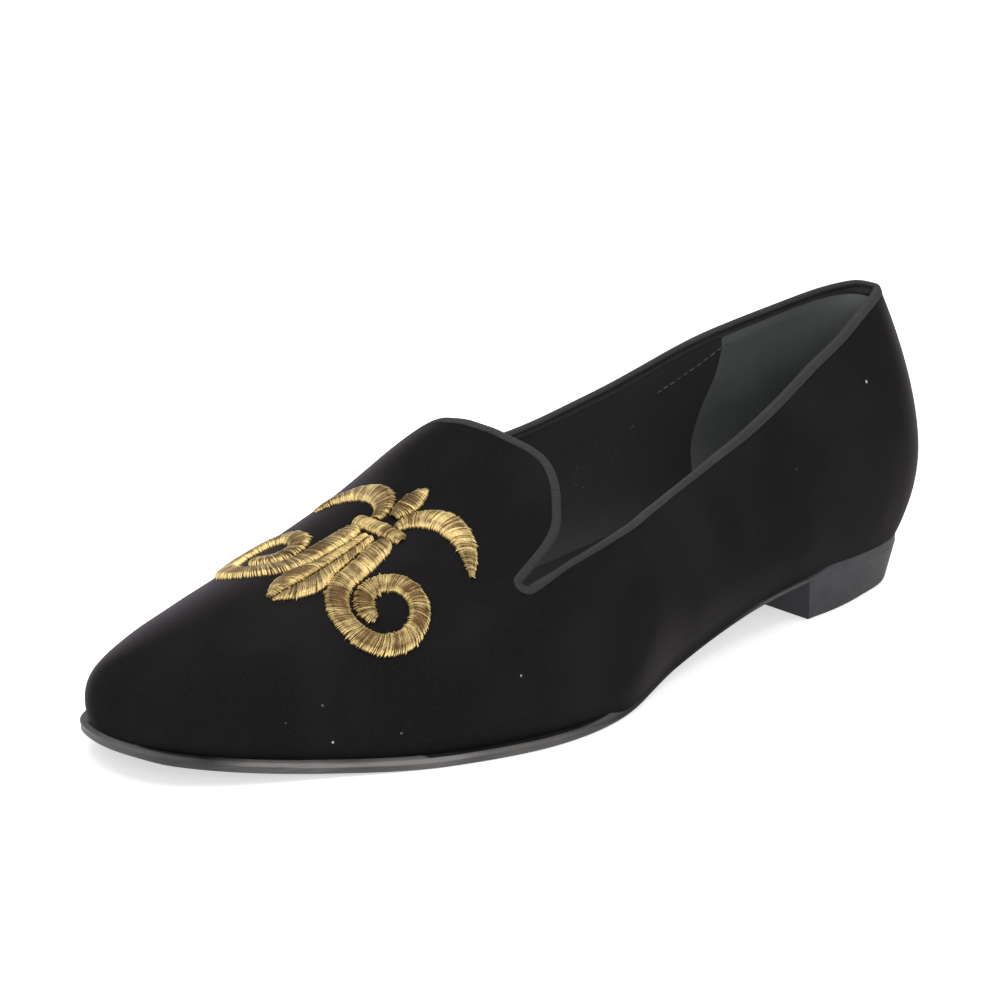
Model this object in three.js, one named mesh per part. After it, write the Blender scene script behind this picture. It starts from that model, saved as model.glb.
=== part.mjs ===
// A woman's velvet slipper loafer, left shoe, standing empty on its sole.
// Millimetres. x runs from the heel to the toe, y to the wearer's left, z up from the floor.
import * as THREE from 'three';

// Sizes of the last
const LENGTH = 258;
const BALL_WIDTH = 81;
const INSTEP = 57;
const BACK_HEIGHT = 58;
const BACK_BULGE = 19.5;
const BACK_UNDERCUT = 6.7;
const BACK_LEAN = 12;
const TOE_SPRING = 6;

// Walls and clearances
const WALL = 2;
const SEAM_GAP = 0.3;
const SOLE_THICK = 2.6;
const SOLE_MARGIN = 1.7;
const WAIST_MARGIN = 0.4;
const SOLE_LIP = 0.9;
const SOLE_STEP = 0.35;
const SOLE_BEVEL = 0.35;
const INSOLE_THICK = 1.8;
const HEEL_HEIGHT = 10.2;
const HEEL_LENGTH = 57.5;
const HEEL_TAPER = 1.4;
const BINDING_WIDTH = 1.6;
const BINDING_PROUD = 0.3;
const NOTCH_EASE = 0.5;

// Raised embroidery on the vamp
const MOTIF_FROM_TONGUE = 47;
const MOTIF_SIDE = 3;
const MOTIF_REACH = 27;
const BAND_WIDTH = 5.4;
const BAND_HEIGHT = 1.4;
const BAND_EDGE = 0.5;

// Stations of the last. Lengths are shares: at of LENGTH; lateral, medial and the two bulges of
// BALL_WIDTH; ridge of INSTEP; side of the ridge's height; crown of the half width.
const LAST_COLUMNS = ['at', 'lateral', 'medial', 'lateralBulge', 'medialBulge', 'ridge', 'side', 'crown'];
const LAST = [
  [0.00, 0.000, 0.000, 0.000, 0.000, 1.12, 0.33, 0.76],
  [0.02, 0.138, 0.201, 0.050, 0.050, 1.06, 0.33, 0.75],
  [0.06, 0.240, 0.285, 0.076, 0.076, 1.04, 0.32, 0.74],
  [0.12, 0.290, 0.312, 0.111, 0.111, 1.02, 0.32, 0.74],
  [0.22, 0.315, 0.298, 0.145, 0.164, 1.01, 0.32, 0.74],
  [0.34, 0.347, 0.279, 0.171, 0.207, 0.98, 0.32, 0.74],
  [0.46, 0.420, 0.307, 0.169, 0.207, 0.97, 0.34, 0.73],
  [0.56, 0.519, 0.382, 0.131, 0.159, 1.02, 0.37, 0.79],
  [0.66, 0.535, 0.465, 0.084, 0.084, 0.768, 0.417, 0.70],
  [0.76, 0.472, 0.457, 0.068, 0.068, 0.581, 0.459, 0.65],
  [0.86, 0.341, 0.365, 0.064, 0.064, 0.456, 0.50, 0.64],
  [0.93, 0.241, 0.259, 0.062, 0.062, 0.361, 0.52, 0.66],
  [0.97, 0.164, 0.177, 0.059, 0.059, 0.282, 0.54, 0.69],
  [0.99, 0.096, 0.108, 0.045, 0.045, 0.202, 0.56, 0.74],
  [1.00, 0.000, 0.000, 0.000, 0.000, 0.103, 0.60, 0.81],
];

// Opening from the back seam to the notch: at of LENGTH, height of BACK_HEIGHT.
const QUARTER_COLUMNS = ['at', 'height'];
const QUARTER = [
  [0.000, 1.010],
  [0.063, 0.9705],
  [0.150, 0.894],
  [0.240, 0.804],
  [0.330, 0.7195],
  [0.420, 0.6845],
  [0.500, 0.6815],
  [0.580, 0.666],
  [0.660, 0.532],
];

// Opening from the notch up the tongue: up of the wall left above the notch, at of LENGTH.
const TONGUE_COLUMNS = ['up', 'at'];
const TONGUE = [
  [0.00, 0.660],
  [0.11, 0.616],
  [0.24, 0.598],
  [0.50, 0.5803],
  [0.75, 0.5835],
  [1.00, 0.585],
];

// Ends of the flat tread, the waist and the toe lift, as shares of LENGTH
const HEEL_SEAT_END = 0.20;
const TREAD_START = 0.60;
const TREAD_END = 0.76;
const MARGIN_START = 0.50;
const MARGIN_FULL = 0.66;
const BACK_REACH = 0.34;

// Steps of the surfaces
const QUARTER_STEPS = 20;
const NOTCH_STEPS = 4;
const VAMP_STEPS = 22;
const LOWER_ROWS = 6;
const TONGUE_ROWS = 8;
const SOLE_STEPS = 52;
const HEEL_STEPS = 18;
const BAND_STEP = 2.4;
const LEAF_STEPS = 14;
const LEAST_STEPS = 5;
const GIRTH_SAMPLES = 40;
const RIDGE_SAMPLES = 80;
const HALVINGS = 40;
const RIM_STEP = 0.012;
const OUTLINE_STEP = 0.004;
const SURFACE_STEP = 0.004;
const STEEPEST_FOOT = 1.6;

// Heel block from the sole down: rise is a share of its height, taper of HEEL_TAPER.
const HEEL_LEVELS = [
  { rise: 1, taper: 0 },
  { rise: 0.6, taper: 0.2 },
  { rise: 0.25, taper: 0.55 },
  { rise: 0.06, taper: 0.8 },
  { rise: 0, taper: 1 },
];

// The binding's section: across is a share of its half thickness, out of BINDING_WIDTH.
const BINDING_PROFILE = [
  { across: -1, out: 0 },
  { across: -1, out: 0.6 },
  { across: -0.5, out: 1 },
  { across: 0.5, out: 1 },
  { across: 1, out: 0.6 },
  { across: 1, out: 0 },
];

// Embroidered strokes. Places are shares of MOTIF_REACH, widths shares of BAND_WIDTH.
const VEIN_GAP = 0.5;
const BLUNT_END = 0.06;
const BAND_SHOULDER = 0.6;
const VOLUTE = {
  stem: 0.2,
  turns: 1.3,
  along: 0.27,
  across: 0.665,
  start: 0.43,
  end: 0.145,
  wide: 0.98,
  narrow: 0.8,
};
const STEM = [[-0.24, 0.178], [-0.07, 0.178], [0.1, 0.235], [0.27, 0.235]];
const TAIL = [[-0.40, 0.12], [-0.66, 0.13], [-0.88, 0.5], [-0.5, 0.92]];
const BUD = [[-0.49, 0], [-0.9, 0]];
const TIE = [[-0.32, -0.26], [-0.32, 0.26]];
const TAIL_WIDTH = 1.1;
const BUD_WIDTH = 1;
const TIE_WIDTH = 0.62;
const LEAF_COLUMNS = ['along', 'width'];
const LEAF = [
  [-0.20, 0.062],
  [0.06, 0.082],
  [0.30, 0.115],
  [0.54, 0.190],
  [0.74, 0.145],
  [0.92, 0.030],
];

const MATERIALS = {
  velvet: { color: 0x211f20, roughness: 0.95, metalness: 0 },
  binding: { color: 0x3e3c3d, roughness: 0.75, metalness: 0 },
  outsole: { color: 0x2b2a2b, roughness: 0.3, metalness: 0 },
  heel: { color: 0x2e2c2e, roughness: 0.25, metalness: 0 },
  insole: { color: 0x242223, roughness: 0.7, metalness: 0 },
  goldThread: { color: 0xb08d45, roughness: 0.5, metalness: 0.2 },
};

function clamp01(x) {
  return Math.min(Math.max(x, 0), 1);
}

function smoothstep(from, to, x) {
  const u = clamp01((x - from) / (to - from));
  return u * u * (3 - 2 * u);
}

// A station runs from 0 at the heel to 1 at the toe, crowded towards both rounded ends.
function shareAt(station) {
  return (1 - Math.cos(Math.PI * station)) / 2;
}

function stationAt(share) {
  return Math.acos(1 - 2 * clamp01(share)) / Math.PI;
}

// Smooth curve through a table's rows.
function curveThrough(xs, ys) {
  const last = xs.length - 1;
  const step = xs.slice(1).map((x, i) => x - xs[i]);
  const rise = step.map((h, i) => (ys[i + 1] - ys[i]) / h);
  const slope = xs.map((x, i) => {
    if (i === 0) return rise[0];
    if (i === last) return rise[last - 1];
    return (rise[i - 1] * step[i] + rise[i] * step[i - 1]) / (step[i - 1] + step[i]);
  });
  return (x) => {
    let i = 0;
    while (i < last - 1 && x >= xs[i + 1]) i += 1;
    const u = (x - xs[i]) / step[i];
    const [u2, u3] = [u * u, u * u * u];
    const start = (2 * u3 - 3 * u2 + 1) * ys[i] + (u3 - 2 * u2 + u) * step[i] * slope[i];
    const end = (3 * u2 - 2 * u3) * ys[i + 1] + (u3 - u2) * step[i] * slope[i + 1];
    return start + end;
  };
}

function tableCurves(table, columns, keyOf) {
  const keys = table.map((row) => keyOf(row[0]));
  const curves = {};
  columns.forEach((name, c) => {
    curves[name] = curveThrough(keys, table.map((row) => row[c]));
  });
  return curves;
}

const last = tableCurves(LAST, LAST_COLUMNS, stationAt);
const quarter = tableCurves(QUARTER, QUARTER_COLUMNS, (at) => at);
const tongue = tableCurves(TONGUE, TONGUE_COLUMNS, (up) => up);

// Heights above the floor, at a share of LENGTH
function treadHeight(share) {
  const toe = clamp01((share - TREAD_END) / (1 - TREAD_END));
  return TOE_SPRING * toe ** 2 + HEEL_HEIGHT * smoothstep(TREAD_START, HEEL_SEAT_END, share);
}

function soleTop(share) {
  return treadHeight(share) + SOLE_THICK;
}

function upperFoot(share) {
  return soleTop(share) + SEAM_GAP;
}

// The back leans forward at the collar and tucks in over the heel.
function backShift(share, height) {
  const low = clamp01((BACK_BULGE - height) / BACK_BULGE);
  const high = Math.max((height - BACK_BULGE) / (BACK_HEIGHT - BACK_BULGE), 0);
  const fade = clamp01(1 - share / BACK_REACH) ** 2;
  return (BACK_UNDERCUT * low ** 2 + BACK_LEAN * high ** 1.5) * fade;
}

function wallHeight(station, v) {
  const ridge = last.ridge(station) * INSTEP;
  const side = last.side(station) * ridge;
  return 3 * (1 - v) ** 2 * v * side + 3 * (1 - v) * v ** 2 * ridge + v ** 3 * ridge;
}

// The outside of the last: v runs from 0 at the sole to 1 on the ridge, side is 1 for the outer
// (left) side and -1 for the inner one. Each section is a cubic with an upright foot and a level top.
function lastPoint(station, v, side) {
  const outer = side > 0;
  const half = (outer ? last.lateral(station) : last.medial(station)) * BALL_WIDTH;
  const bulge = (outer ? last.lateralBulge(station) : last.medialBulge(station)) * BALL_WIDTH;
  const crown = last.crown(station) * half;
  const foot = (1 - v) ** 3 * half + 3 * (1 - v) ** 2 * v * (half + bulge);
  const reach = foot + 3 * (1 - v) * v ** 2 * crown;
  const height = wallHeight(station, v);
  const share = shareAt(station);
  const x = share * LENGTH + backShift(share, height);
  return new THREE.Vector3(x, side * reach, upperFoot(share) + height);
}

function levelAtHeight(station, height) {
  let [low, high] = [0, 1];
  for (let i = 0; i < HALVINGS; i += 1) {
    const v = (low + high) / 2;
    if (wallHeight(station, v) > height) high = v;
    else low = v;
  }
  return (low + high) / 2;
}

// Length of the section's line from the sole up to each of evenly spaced levels.
function girthTable(station, side) {
  const sums = [0];
  let before = lastPoint(station, 0, side);
  for (let k = 1; k <= GIRTH_SAMPLES; k += 1) {
    const here = lastPoint(station, k / GIRTH_SAMPLES, side);
    sums.push(sums[k - 1] + here.distanceTo(before));
    before = here;
  }
  return sums;
}

function meanGirth(station) {
  const [outer, inner] = [girthTable(station, 1), girthTable(station, -1)];
  return outer.map((g, k) => (g + inner[k]) / 2);
}

function girthAt(sums, v) {
  const k = Math.min(Math.floor(v * GIRTH_SAMPLES), GIRTH_SAMPLES - 1);
  return sums[k] + (sums[k + 1] - sums[k]) * (v * GIRTH_SAMPLES - k);
}

function levelAtGirth(sums, girth) {
  let k = 0;
  while (k < GIRTH_SAMPLES - 1 && sums[k + 1] < girth) k += 1;
  return clamp01((k + (girth - sums[k]) / (sums[k + 1] - sums[k])) / GIRTH_SAMPLES);
}

// The opening's rim and the edge of the velvet below it, as {station, v} pairs. The velvet ends one
// binding's width from the rim, and turns round the notch on an arc.
const RIM_TO_VELVET = BINDING_WIDTH + SEAM_GAP + NOTCH_EASE;

function unrolled(station, v) {
  return new THREE.Vector2(shareAt(station) * LENGTH, girthAt(meanGirth(station), v));
}

function rolled(point) {
  const station = stationAt(point.x / LENGTH);
  return { station, v: levelAtGirth(meanGirth(station), point.y) };
}

function quarterRim(share) {
  const station = stationAt(share);
  return unrolled(station, levelAtHeight(station, quarter.height(share) * BACK_HEIGHT));
}

function tongueRim(up) {
  const share = tongue.at(up);
  const station = stationAt(share);
  return unrolled(station, NOTCH_LEVEL + (1 - NOTCH_LEVEL) * up);
}

const NOTCH_SHARE = QUARTER[QUARTER.length - 1][0];
const NOTCH_LEVEL = levelAtHeight(stationAt(NOTCH_SHARE), quarter.height(NOTCH_SHARE) * BACK_HEIGHT);

// The sideways step off a flat curve, to the right of its direction of travel.
function rightOf(curve, at, step, distance) {
  const along = curve(at + step).sub(curve(at - step)).normalize();
  return new THREE.Vector2(along.y, -along.x).multiplyScalar(distance);
}

function openingEdge() {
  const notch = quarterRim(NOTCH_SHARE);
  const lowStep = rightOf(quarterRim, NOTCH_SHARE - RIM_STEP, RIM_STEP, RIM_TO_VELVET);
  const highStep = rightOf(tongueRim, RIM_STEP, RIM_STEP, RIM_TO_VELVET);
  const lowAngle = lowStep.angle() - 2 * Math.PI;
  const highAngle = highStep.angle();
  const onArc = (angle) => {
    const out = new THREE.Vector2(Math.cos(angle), Math.sin(angle));
    return rolled(notch.clone().addScaledVector(out, RIM_TO_VELVET));
  };
  const below = [{ station: 0, v: levelAtHeight(0, quarter.height(0) * BACK_HEIGHT - RIM_TO_VELVET) }];
  for (let i = 1; i < QUARTER_STEPS; i += 1) {
    const share = shareAt(stationAt(NOTCH_SHARE) * i / QUARTER_STEPS);
    below.push(rolled(quarterRim(share).add(rightOf(quarterRim, share, RIM_STEP / 2, RIM_TO_VELVET))));
  }
  for (let i = 0; i <= NOTCH_STEPS; i += 1) below.push(onArc(lowAngle * (1 - i / NOTCH_STEPS)));
  const above = [];
  for (let i = 1; i < NOTCH_STEPS; i += 1) above.push(onArc(highAngle * i / (NOTCH_STEPS - 1)));
  for (let i = 1; i < TONGUE_ROWS; i += 1) {
    const up = i / TONGUE_ROWS;
    above.push(rolled(tongueRim(up).add(rightOf(tongueRim, up, RIM_STEP, RIM_TO_VELVET))));
  }
  above.push({ station: stationAt(tongue.at(1) + RIM_TO_VELVET / LENGTH), v: 1 });
  return { below, above };
}

// A net of welded points and triangles.
class Net {
  constructor() {
    this.points = [];
    this.faces = [];
    this.seen = new Map();
  }

  point(p) {
    const key = [p.x, p.y, p.z].map((c) => (Math.round(c * 1e5) + 0)).join(' ');
    if (!this.seen.has(key)) {
      this.seen.set(key, this.points.length);
      this.points.push(p.clone());
    }
    return this.seen.get(key);
  }

  face(a, b, c) {
    if (a !== b && b !== c && c !== a) this.faces.push([a, b, c]);
  }

  quad(a, b, c, d) {
    this.face(a, b, c);
    this.face(a, c, d);
  }

  normals() {
    const sums = this.points.map(() => new THREE.Vector3());
    for (const [a, b, c] of this.faces) {
      const [pa, pb, pc] = [this.points[a], this.points[b], this.points[c]];
      const across = pb.clone().sub(pa).cross(pc.clone().sub(pa));
      for (const k of [a, b, c]) sums[k].add(across);
    }
    return sums.map((n) => n.normalize());
  }

  openEdges() {
    const edges = new Map();
    for (const [a, b, c] of this.faces) {
      for (const [from, to] of [[a, b], [b, c], [c, a]]) edges.set(`${from} ${to}`, [from, to]);
    }
    return [...edges.values()].filter(([from, to]) => !edges.has(`${to} ${from}`));
  }

  geometry() {
    let volume = 0;
    for (const [a, b, c] of this.faces) {
      volume += this.points[a].dot(this.points[b].clone().cross(this.points[c]));
    }
    const faces = volume > 0 ? this.faces : this.faces.map(([a, b, c]) => [a, c, b]);
    const geometry = new THREE.BufferGeometry().setFromPoints(this.points);
    geometry.setIndex(faces.flat());
    geometry.computeVertexNormals();
    return geometry;
  }
}

// Nets of {station, v}: columns from the back seam to the notch, then from the opening to the toe.
function wallGrids() {
  const { below, above } = openingEdge();
  const front = below[below.length - 1];
  const lower = Array.from({ length: LOWER_ROWS + 1 }, (_, j) => j / LOWER_ROWS);
  const quarterGrid = below.map(({ station, v }) => lower.map((w) => ({ station, v: v * w })));
  const rows = [...lower.map((w) => ({ station: front.station, v: front.v * w })), ...above];
  const vampGrid = Array.from({ length: VAMP_STEPS + 1 }, (_, i) => rows.map(({ station, v }) => (
    { station: station + (1 - station) * i / VAMP_STEPS, v })));
  return { quarterGrid, vampGrid };
}

const grids = wallGrids();

// Thickness of the wall in the floor's plane, where it leans out over the sole
function footWall(station, side) {
  const bulge = (side > 0 ? last.lateralBulge(station) : last.medialBulge(station)) * BALL_WIDTH;
  const handle = last.side(station) * last.ridge(station) * INSTEP;
  return WALL * Math.min(Math.hypot(bulge, handle) / handle, STEEPEST_FOOT);
}

// A point of the foot line, moved outwards in the floor's plane.
function outlinePoint(station, side, grow) {
  const here = lastPoint(station, 0, side);
  if (station <= 0) return here.setX(here.x - grow);
  if (station >= 1) return here.setX(here.x + grow);
  const ahead = lastPoint(Math.min(station + OUTLINE_STEP, 1), 0, side);
  const along = ahead.sub(lastPoint(Math.max(station - OUTLINE_STEP, 0), 0, side));
  const out = new THREE.Vector3(-along.y, along.x, 0).normalize();
  return here.addScaledVector(out, side * grow);
}

// The wall's outer skin, and for each of its points the one inside it.
function wallSkins() {
  const outer = new Net();
  const footOf = new Map();
  for (const side of [1, -1]) {
    for (const grid of [grids.quarterGrid, grids.vampGrid]) {
      const ids = grid.map((column) => column.map(({ station, v }) => {
        const id = outer.point(lastPoint(station, v, side));
        if (v === 0) footOf.set(id, { station, side });
        return id;
      }));
      for (let i = 1; i < ids.length; i += 1) {
        for (let j = 1; j < ids[i].length; j += 1) {
          const corners = [ids[i - 1][j - 1], ids[i - 1][j], ids[i][j], ids[i][j - 1]];
          if (side < 0) corners.reverse();
          outer.quad(...corners);
        }
      }
    }
  }
  const normals = outer.normals();
  const inner = outer.points.map((p, id) => {
    if (!footOf.has(id)) return p.clone().addScaledVector(normals[id], -WALL);
    const { station, side } = footOf.get(id);
    return outlinePoint(station, side, -footWall(station, side));
  });
  return { outer, inner };
}

const skins = wallSkins();

function upper() {
  const net = new Net();
  const { outer, inner } = skins;
  const out = outer.points.map((p) => net.point(p));
  const within = inner.map((p) => net.point(p));
  for (const [a, b, c] of outer.faces) {
    net.face(out[a], out[b], out[c]);
    net.face(within[a], within[c], within[b]);
  }
  for (const [from, to] of outer.openEdges()) net.quad(out[to], out[from], within[from], within[to]);
  return net.geometry();
}

// A solid between rings of equal count. A ring starts at the back, runs forward along the outer side
// and comes back along the inner side.
function ringSolid(rings) {
  const net = new Net();
  const ids = rings.map((ring) => ring.map((p) => net.point(p)));
  const count = rings[0].length;
  for (let r = 1; r < ids.length; r += 1) {
    for (let k = 0; k < count; k += 1) {
      const next = (k + 1) % count;
      net.quad(ids[r - 1][next], ids[r - 1][k], ids[r][k], ids[r][next]);
    }
  }
  const lid = (ring) => {
    net.face(ring[0], ring[1], ring[count - 1]);
    let [a, b] = [1, count - 1];
    while (b - a > 2) {
      net.quad(ring[a], ring[a + 1], ring[b - 1], ring[b]);
      a += 1;
      b -= 1;
    }
    if (b - a === 2) net.face(ring[a], ring[a + 1], ring[b]);
  };
  lid(ids[0]);
  const bottom = ids[ids.length - 1];
  lid([bottom[0], ...bottom.slice(1).reverse()]);
  return net.geometry();
}

function ringOf(stations, place) {
  const outer = stations.map((station) => place(station, 1));
  const inner = stations.map((station) => place(station, -1)).reverse();
  const closed = stations[stations.length - 1] >= 1;
  return [...outer, ...inner.slice(closed ? 1 : 0, -1)];
}

function evenStations(count, end) {
  return Array.from({ length: count + 1 }, (_, i) => end * i / count);
}

function soleMargin(share) {
  return WAIST_MARGIN + (SOLE_MARGIN - WAIST_MARGIN) * smoothstep(MARGIN_START, MARGIN_FULL, share);
}

// Lip, step, band and bevel of the sole's edge, from the top down
function outsole() {
  const stations = evenStations(SOLE_STEPS, 1);
  const level = (heightAt, inset) => ringOf(stations, (station, side) => {
    const share = shareAt(station);
    return outlinePoint(station, side, soleMargin(share) - inset).setZ(heightAt(share));
  });
  return ringSolid([
    level(soleTop, 0),
    level((share) => soleTop(share) - SOLE_LIP, 0),
    level((share) => soleTop(share) - SOLE_LIP, SOLE_STEP),
    level((share) => treadHeight(share) + SOLE_BEVEL, SOLE_STEP),
    level(treadHeight, SOLE_STEP + SOLE_BEVEL),
  ]);
}

// A low block under the heel seat, with a flat breast and sides that draw in to the floor
function heel() {
  const breast = stationAt(HEEL_LENGTH / LENGTH);
  const stations = evenStations(HEEL_STEPS, breast);
  const level = (rise, taper) => ringOf(stations, (station, side) => {
    const share = shareAt(station);
    const top = treadHeight(share) - SEAM_GAP;
    const inset = SOLE_STEP + HEEL_TAPER * taper - WAIST_MARGIN;
    const p = outlinePoint(station, side, -inset).setZ(top * rise);
    return station === breast ? p.setX(HEEL_LENGTH) : p;
  });
  return ringSolid(HEEL_LEVELS.map(({ rise, taper }) => level(rise, taper)));
}

function insole() {
  const stations = [...grids.quarterGrid, ...grids.vampGrid.slice(1)].map((column) => column[0].station);
  const level = (lift) => ringOf(stations, (station, side) => {
    const inset = footWall(station, side) + SEAM_GAP;
    return outlinePoint(station, side, -inset).setZ(soleTop(shareAt(station)) + lift);
  });
  return ringSolid([level(SEAM_GAP + INSOLE_THICK), level(SEAM_GAP)]);
}

// The tape round the opening: its section carried along the wall's edge.
function toplineBinding() {
  const { outer, inner } = skins;
  const next = new Map(outer.openEdges());
  const rim = [];
  const { station, v } = grids.quarterGrid[0][LOWER_ROWS];
  const start = outer.point(lastPoint(station, v, 1));
  for (let id = start; rim.length === 0 || id !== start; id = next.get(id)) rim.push(id);
  const middle = (id) => outer.points[id].clone().add(inner[id]).multiplyScalar(0.5);
  const half = WALL / 2 + BINDING_PROUD;
  const net = new Net();
  const rings = rim.map((id, k) => {
    const before = rim[(k + rim.length - 1) % rim.length];
    const after = rim[(k + 1) % rim.length];
    const along = middle(after).sub(middle(before)).normalize();
    const across = outer.points[id].clone().sub(inner[id]).normalize();
    const out = along.clone().cross(across).normalize();
    return BINDING_PROFILE.map((at) => net.point(middle(id)
      .addScaledVector(across, at.across * half)
      .addScaledVector(out, SEAM_GAP + at.out * BINDING_WIDTH)));
  });
  rings.forEach((ring, k) => {
    const ahead = rings[(k + 1) % rings.length];
    ring.forEach((id, j) => {
      const up = (j + 1) % ring.length;
      net.quad(id, ring[up], ahead[up], ahead[j]);
    });
  });
  return net.geometry();
}

// The station at a length along the ridge from the tongue's edge
const ridgeStations = Array.from({ length: RIDGE_SAMPLES + 1 }, (_, i) => {
  const start = stationAt(tongue.at(1));
  return start + (1 - start) * i / RIDGE_SAMPLES;
});
const ridgeLengths = ridgeStations.reduce((sums, station, i) => {
  if (i === 0) return [0];
  const step = lastPoint(station, 1, 1).distanceTo(lastPoint(ridgeStations[i - 1], 1, 1));
  return [...sums, sums[i - 1] + step];
}, []);
const ridgeStation = curveThrough(ridgeLengths, ridgeStations);

// A point of the vamp, lifted off it: along the ridge from the motif's middle, and across from there.
function onVamp(along, sideways, lift) {
  const station = ridgeStation(MOTIF_FROM_TONGUE + along);
  const across = sideways + MOTIF_SIDE;
  const side = across < 0 ? -1 : 1;
  const sums = girthTable(station, side);
  const v = levelAtGirth(sums, sums[GIRTH_SAMPLES] - Math.abs(across));
  const inside = Math.min(v, 1 - SURFACE_STEP);
  const here = lastPoint(station, inside, side);
  const forward = lastPoint(station + SURFACE_STEP, inside, side).sub(here);
  const up = lastPoint(station, inside + SURFACE_STEP, side).sub(here);
  const out = up.cross(forward).multiplyScalar(side).normalize();
  if (v > inside) out.setY(0).normalize();
  return lastPoint(station, v, side).addScaledVector(out, lift);
}

// A padded band along a flat path of {point, width}, laid on the vamp.
function stitchedBand(path) {
  const top = SEAM_GAP + BAND_HEIGHT;
  const edge = SEAM_GAP + BAND_EDGE;
  const section = [
    [-1, SEAM_GAP], [0, SEAM_GAP], [1, SEAM_GAP],
    [1, edge], [BAND_SHOULDER, (edge + 3 * top) / 4], [0, top], [-BAND_SHOULDER, (edge + 3 * top) / 4], [-1, edge],
  ];
  const net = new Net();
  const rings = path.map(({ point, width }, k) => {
    const before = path[Math.max(k - 1, 0)].point;
    const after = path[Math.min(k + 1, path.length - 1)].point;
    const along = after.clone().sub(before).normalize();
    return section.map(([u, lift]) => {
      const reach = u * width / 2;
      return net.point(onVamp(point.x - along.y * reach, point.y + along.x * reach, lift));
    });
  });
  for (let k = 1; k < rings.length; k += 1) {
    rings[k].forEach((id, j) => {
      const next = (j + 1) % section.length;
      net.quad(rings[k - 1][j], rings[k - 1][next], rings[k][next], id);
    });
  }
  const cap = (ring) => {
    net.quad(ring[0], ring[1], ring[5], ring[7]);
    net.face(ring[7], ring[5], ring[6]);
    net.quad(ring[1], ring[2], ring[3], ring[5]);
    net.face(ring[3], ring[4], ring[5]);
  };
  const start = rings[0];
  cap([start[2], start[1], start[0], start[7], start[6], start[5], start[4], start[3]]);
  cap(rings[rings.length - 1]);
  return net.geometry();
}

// Evenly spaced points of a flat curve given by shares of the motif's reach, with a width at each.
function pathOf(curve, widthAt) {
  const count = Math.max(Math.round(curve.getLength() * MOTIF_REACH / BAND_STEP), LEAST_STEPS);
  return curve.getSpacedPoints(count).map((point, i) => (
    { point: point.multiplyScalar(MOTIF_REACH), width: widthAt(i / count) * BAND_WIDTH }));
}

function places(pairs, side) {
  return pairs.map(([along, across]) => new THREE.Vector2(along, across * side));
}

// Width of a band that is blunt at both ends
function bluntWidth(at, from, to) {
  const end = Math.min(at, 1 - at) / BLUNT_END;
  const round = end < 1 ? Math.sqrt(1 - (1 - end) ** 2 * 0.9) : 1;
  return (from + (to - from) * at) * round;
}

// Width of a leaf that is pointed at both ends
function leafWidth(at, widest) {
  return Math.max(widest * Math.sin(Math.PI * (0.1 + 0.86 * at)), 0.12);
}

// A stem beside the leaf that curls outwards into a spiral.
class VoluteCurve extends THREE.Curve {
  constructor(side) {
    super();
    this.side = side;
    this.stem = new THREE.CubicBezierCurve(...places(STEM, 1));
  }

  getPoint(at, target = new THREE.Vector2()) {
    if (at < VOLUTE.stem) {
      this.stem.getPoint(at / VOLUTE.stem, target);
    } else {
      const turned = (at - VOLUTE.stem) / (1 - VOLUTE.stem);
      const angle = 2 * Math.PI * VOLUTE.turns * turned;
      const radius = VOLUTE.start + (VOLUTE.end - VOLUTE.start) * turned;
      target.set(VOLUTE.along + radius * Math.sin(angle), VOLUTE.across - radius * Math.cos(angle));
    }
    target.y *= this.side;
    return target;
  }
}

function volute(side) {
  return stitchedBand(pathOf(new VoluteCurve(side), (at) => bluntWidth(at, VOLUTE.wide, VOLUTE.narrow)));
}

function tail(side) {
  const curve = new THREE.CubicBezierCurve(...places(TAIL, side));
  return stitchedBand(pathOf(curve, (at) => leafWidth(at, TAIL_WIDTH)));
}

// Half of the middle leaf, beside its vein
function halfLeaf(side) {
  const leaf = tableCurves(LEAF, LEAF_COLUMNS, (along) => along);
  const [start, end] = [LEAF[0][0], LEAF[LEAF.length - 1][0]];
  const path = Array.from({ length: LEAF_STEPS + 1 }, (_, i) => {
    const along = start + (end - start) * i / LEAF_STEPS;
    const width = leaf.width(along) * MOTIF_REACH;
    const point = new THREE.Vector2(along * MOTIF_REACH, side * (VEIN_GAP + width) / 2);
    return { point, width: width - VEIN_GAP };
  });
  return stitchedBand(path);
}

function bud() {
  return stitchedBand(pathOf(new THREE.LineCurve(...places(BUD, 1)), (at) => leafWidth(at, BUD_WIDTH)));
}

function tie() {
  const curve = new THREE.LineCurve(...places(TIE, 1));
  return stitchedBand(pathOf(curve, (at) => bluntWidth(at, TIE_WIDTH, TIE_WIDTH)));
}

function piece(name, geometry, material) {
  const mesh = new THREE.Mesh(geometry, new THREE.MeshStandardMaterial(MATERIALS[material]));
  mesh.name = name;
  return mesh;
}

const shoe = new THREE.Group();
shoe.add(
  piece('upper', upper(), 'velvet'),
  piece('outsole', outsole(), 'outsole'),
  piece('heel', heel(), 'heel'),
  piece('insole', insole(), 'insole'),
  piece('topline_binding', toplineBinding(), 'binding'),
  piece('embroidery_volute_outer', volute(1), 'goldThread'),
  piece('embroidery_volute_inner', volute(-1), 'goldThread'),
  piece('embroidery_tail_outer', tail(1), 'goldThread'),
  piece('embroidery_tail_inner', tail(-1), 'goldThread'),
  piece('embroidery_leaf_outer', halfLeaf(1), 'goldThread'),
  piece('embroidery_leaf_inner', halfLeaf(-1), 'goldThread'),
  piece('embroidery_bud', bud(), 'goldThread'),
  piece('embroidery_tie', tie(), 'goldThread'),
);

// The origin is at the middle of the box's foot.
const bounds = new THREE.Box3().setFromObject(shoe);
const middle = bounds.getCenter(new THREE.Vector3());
shoe.position.set(-middle.x, -middle.y, -bounds.min.z);

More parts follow.
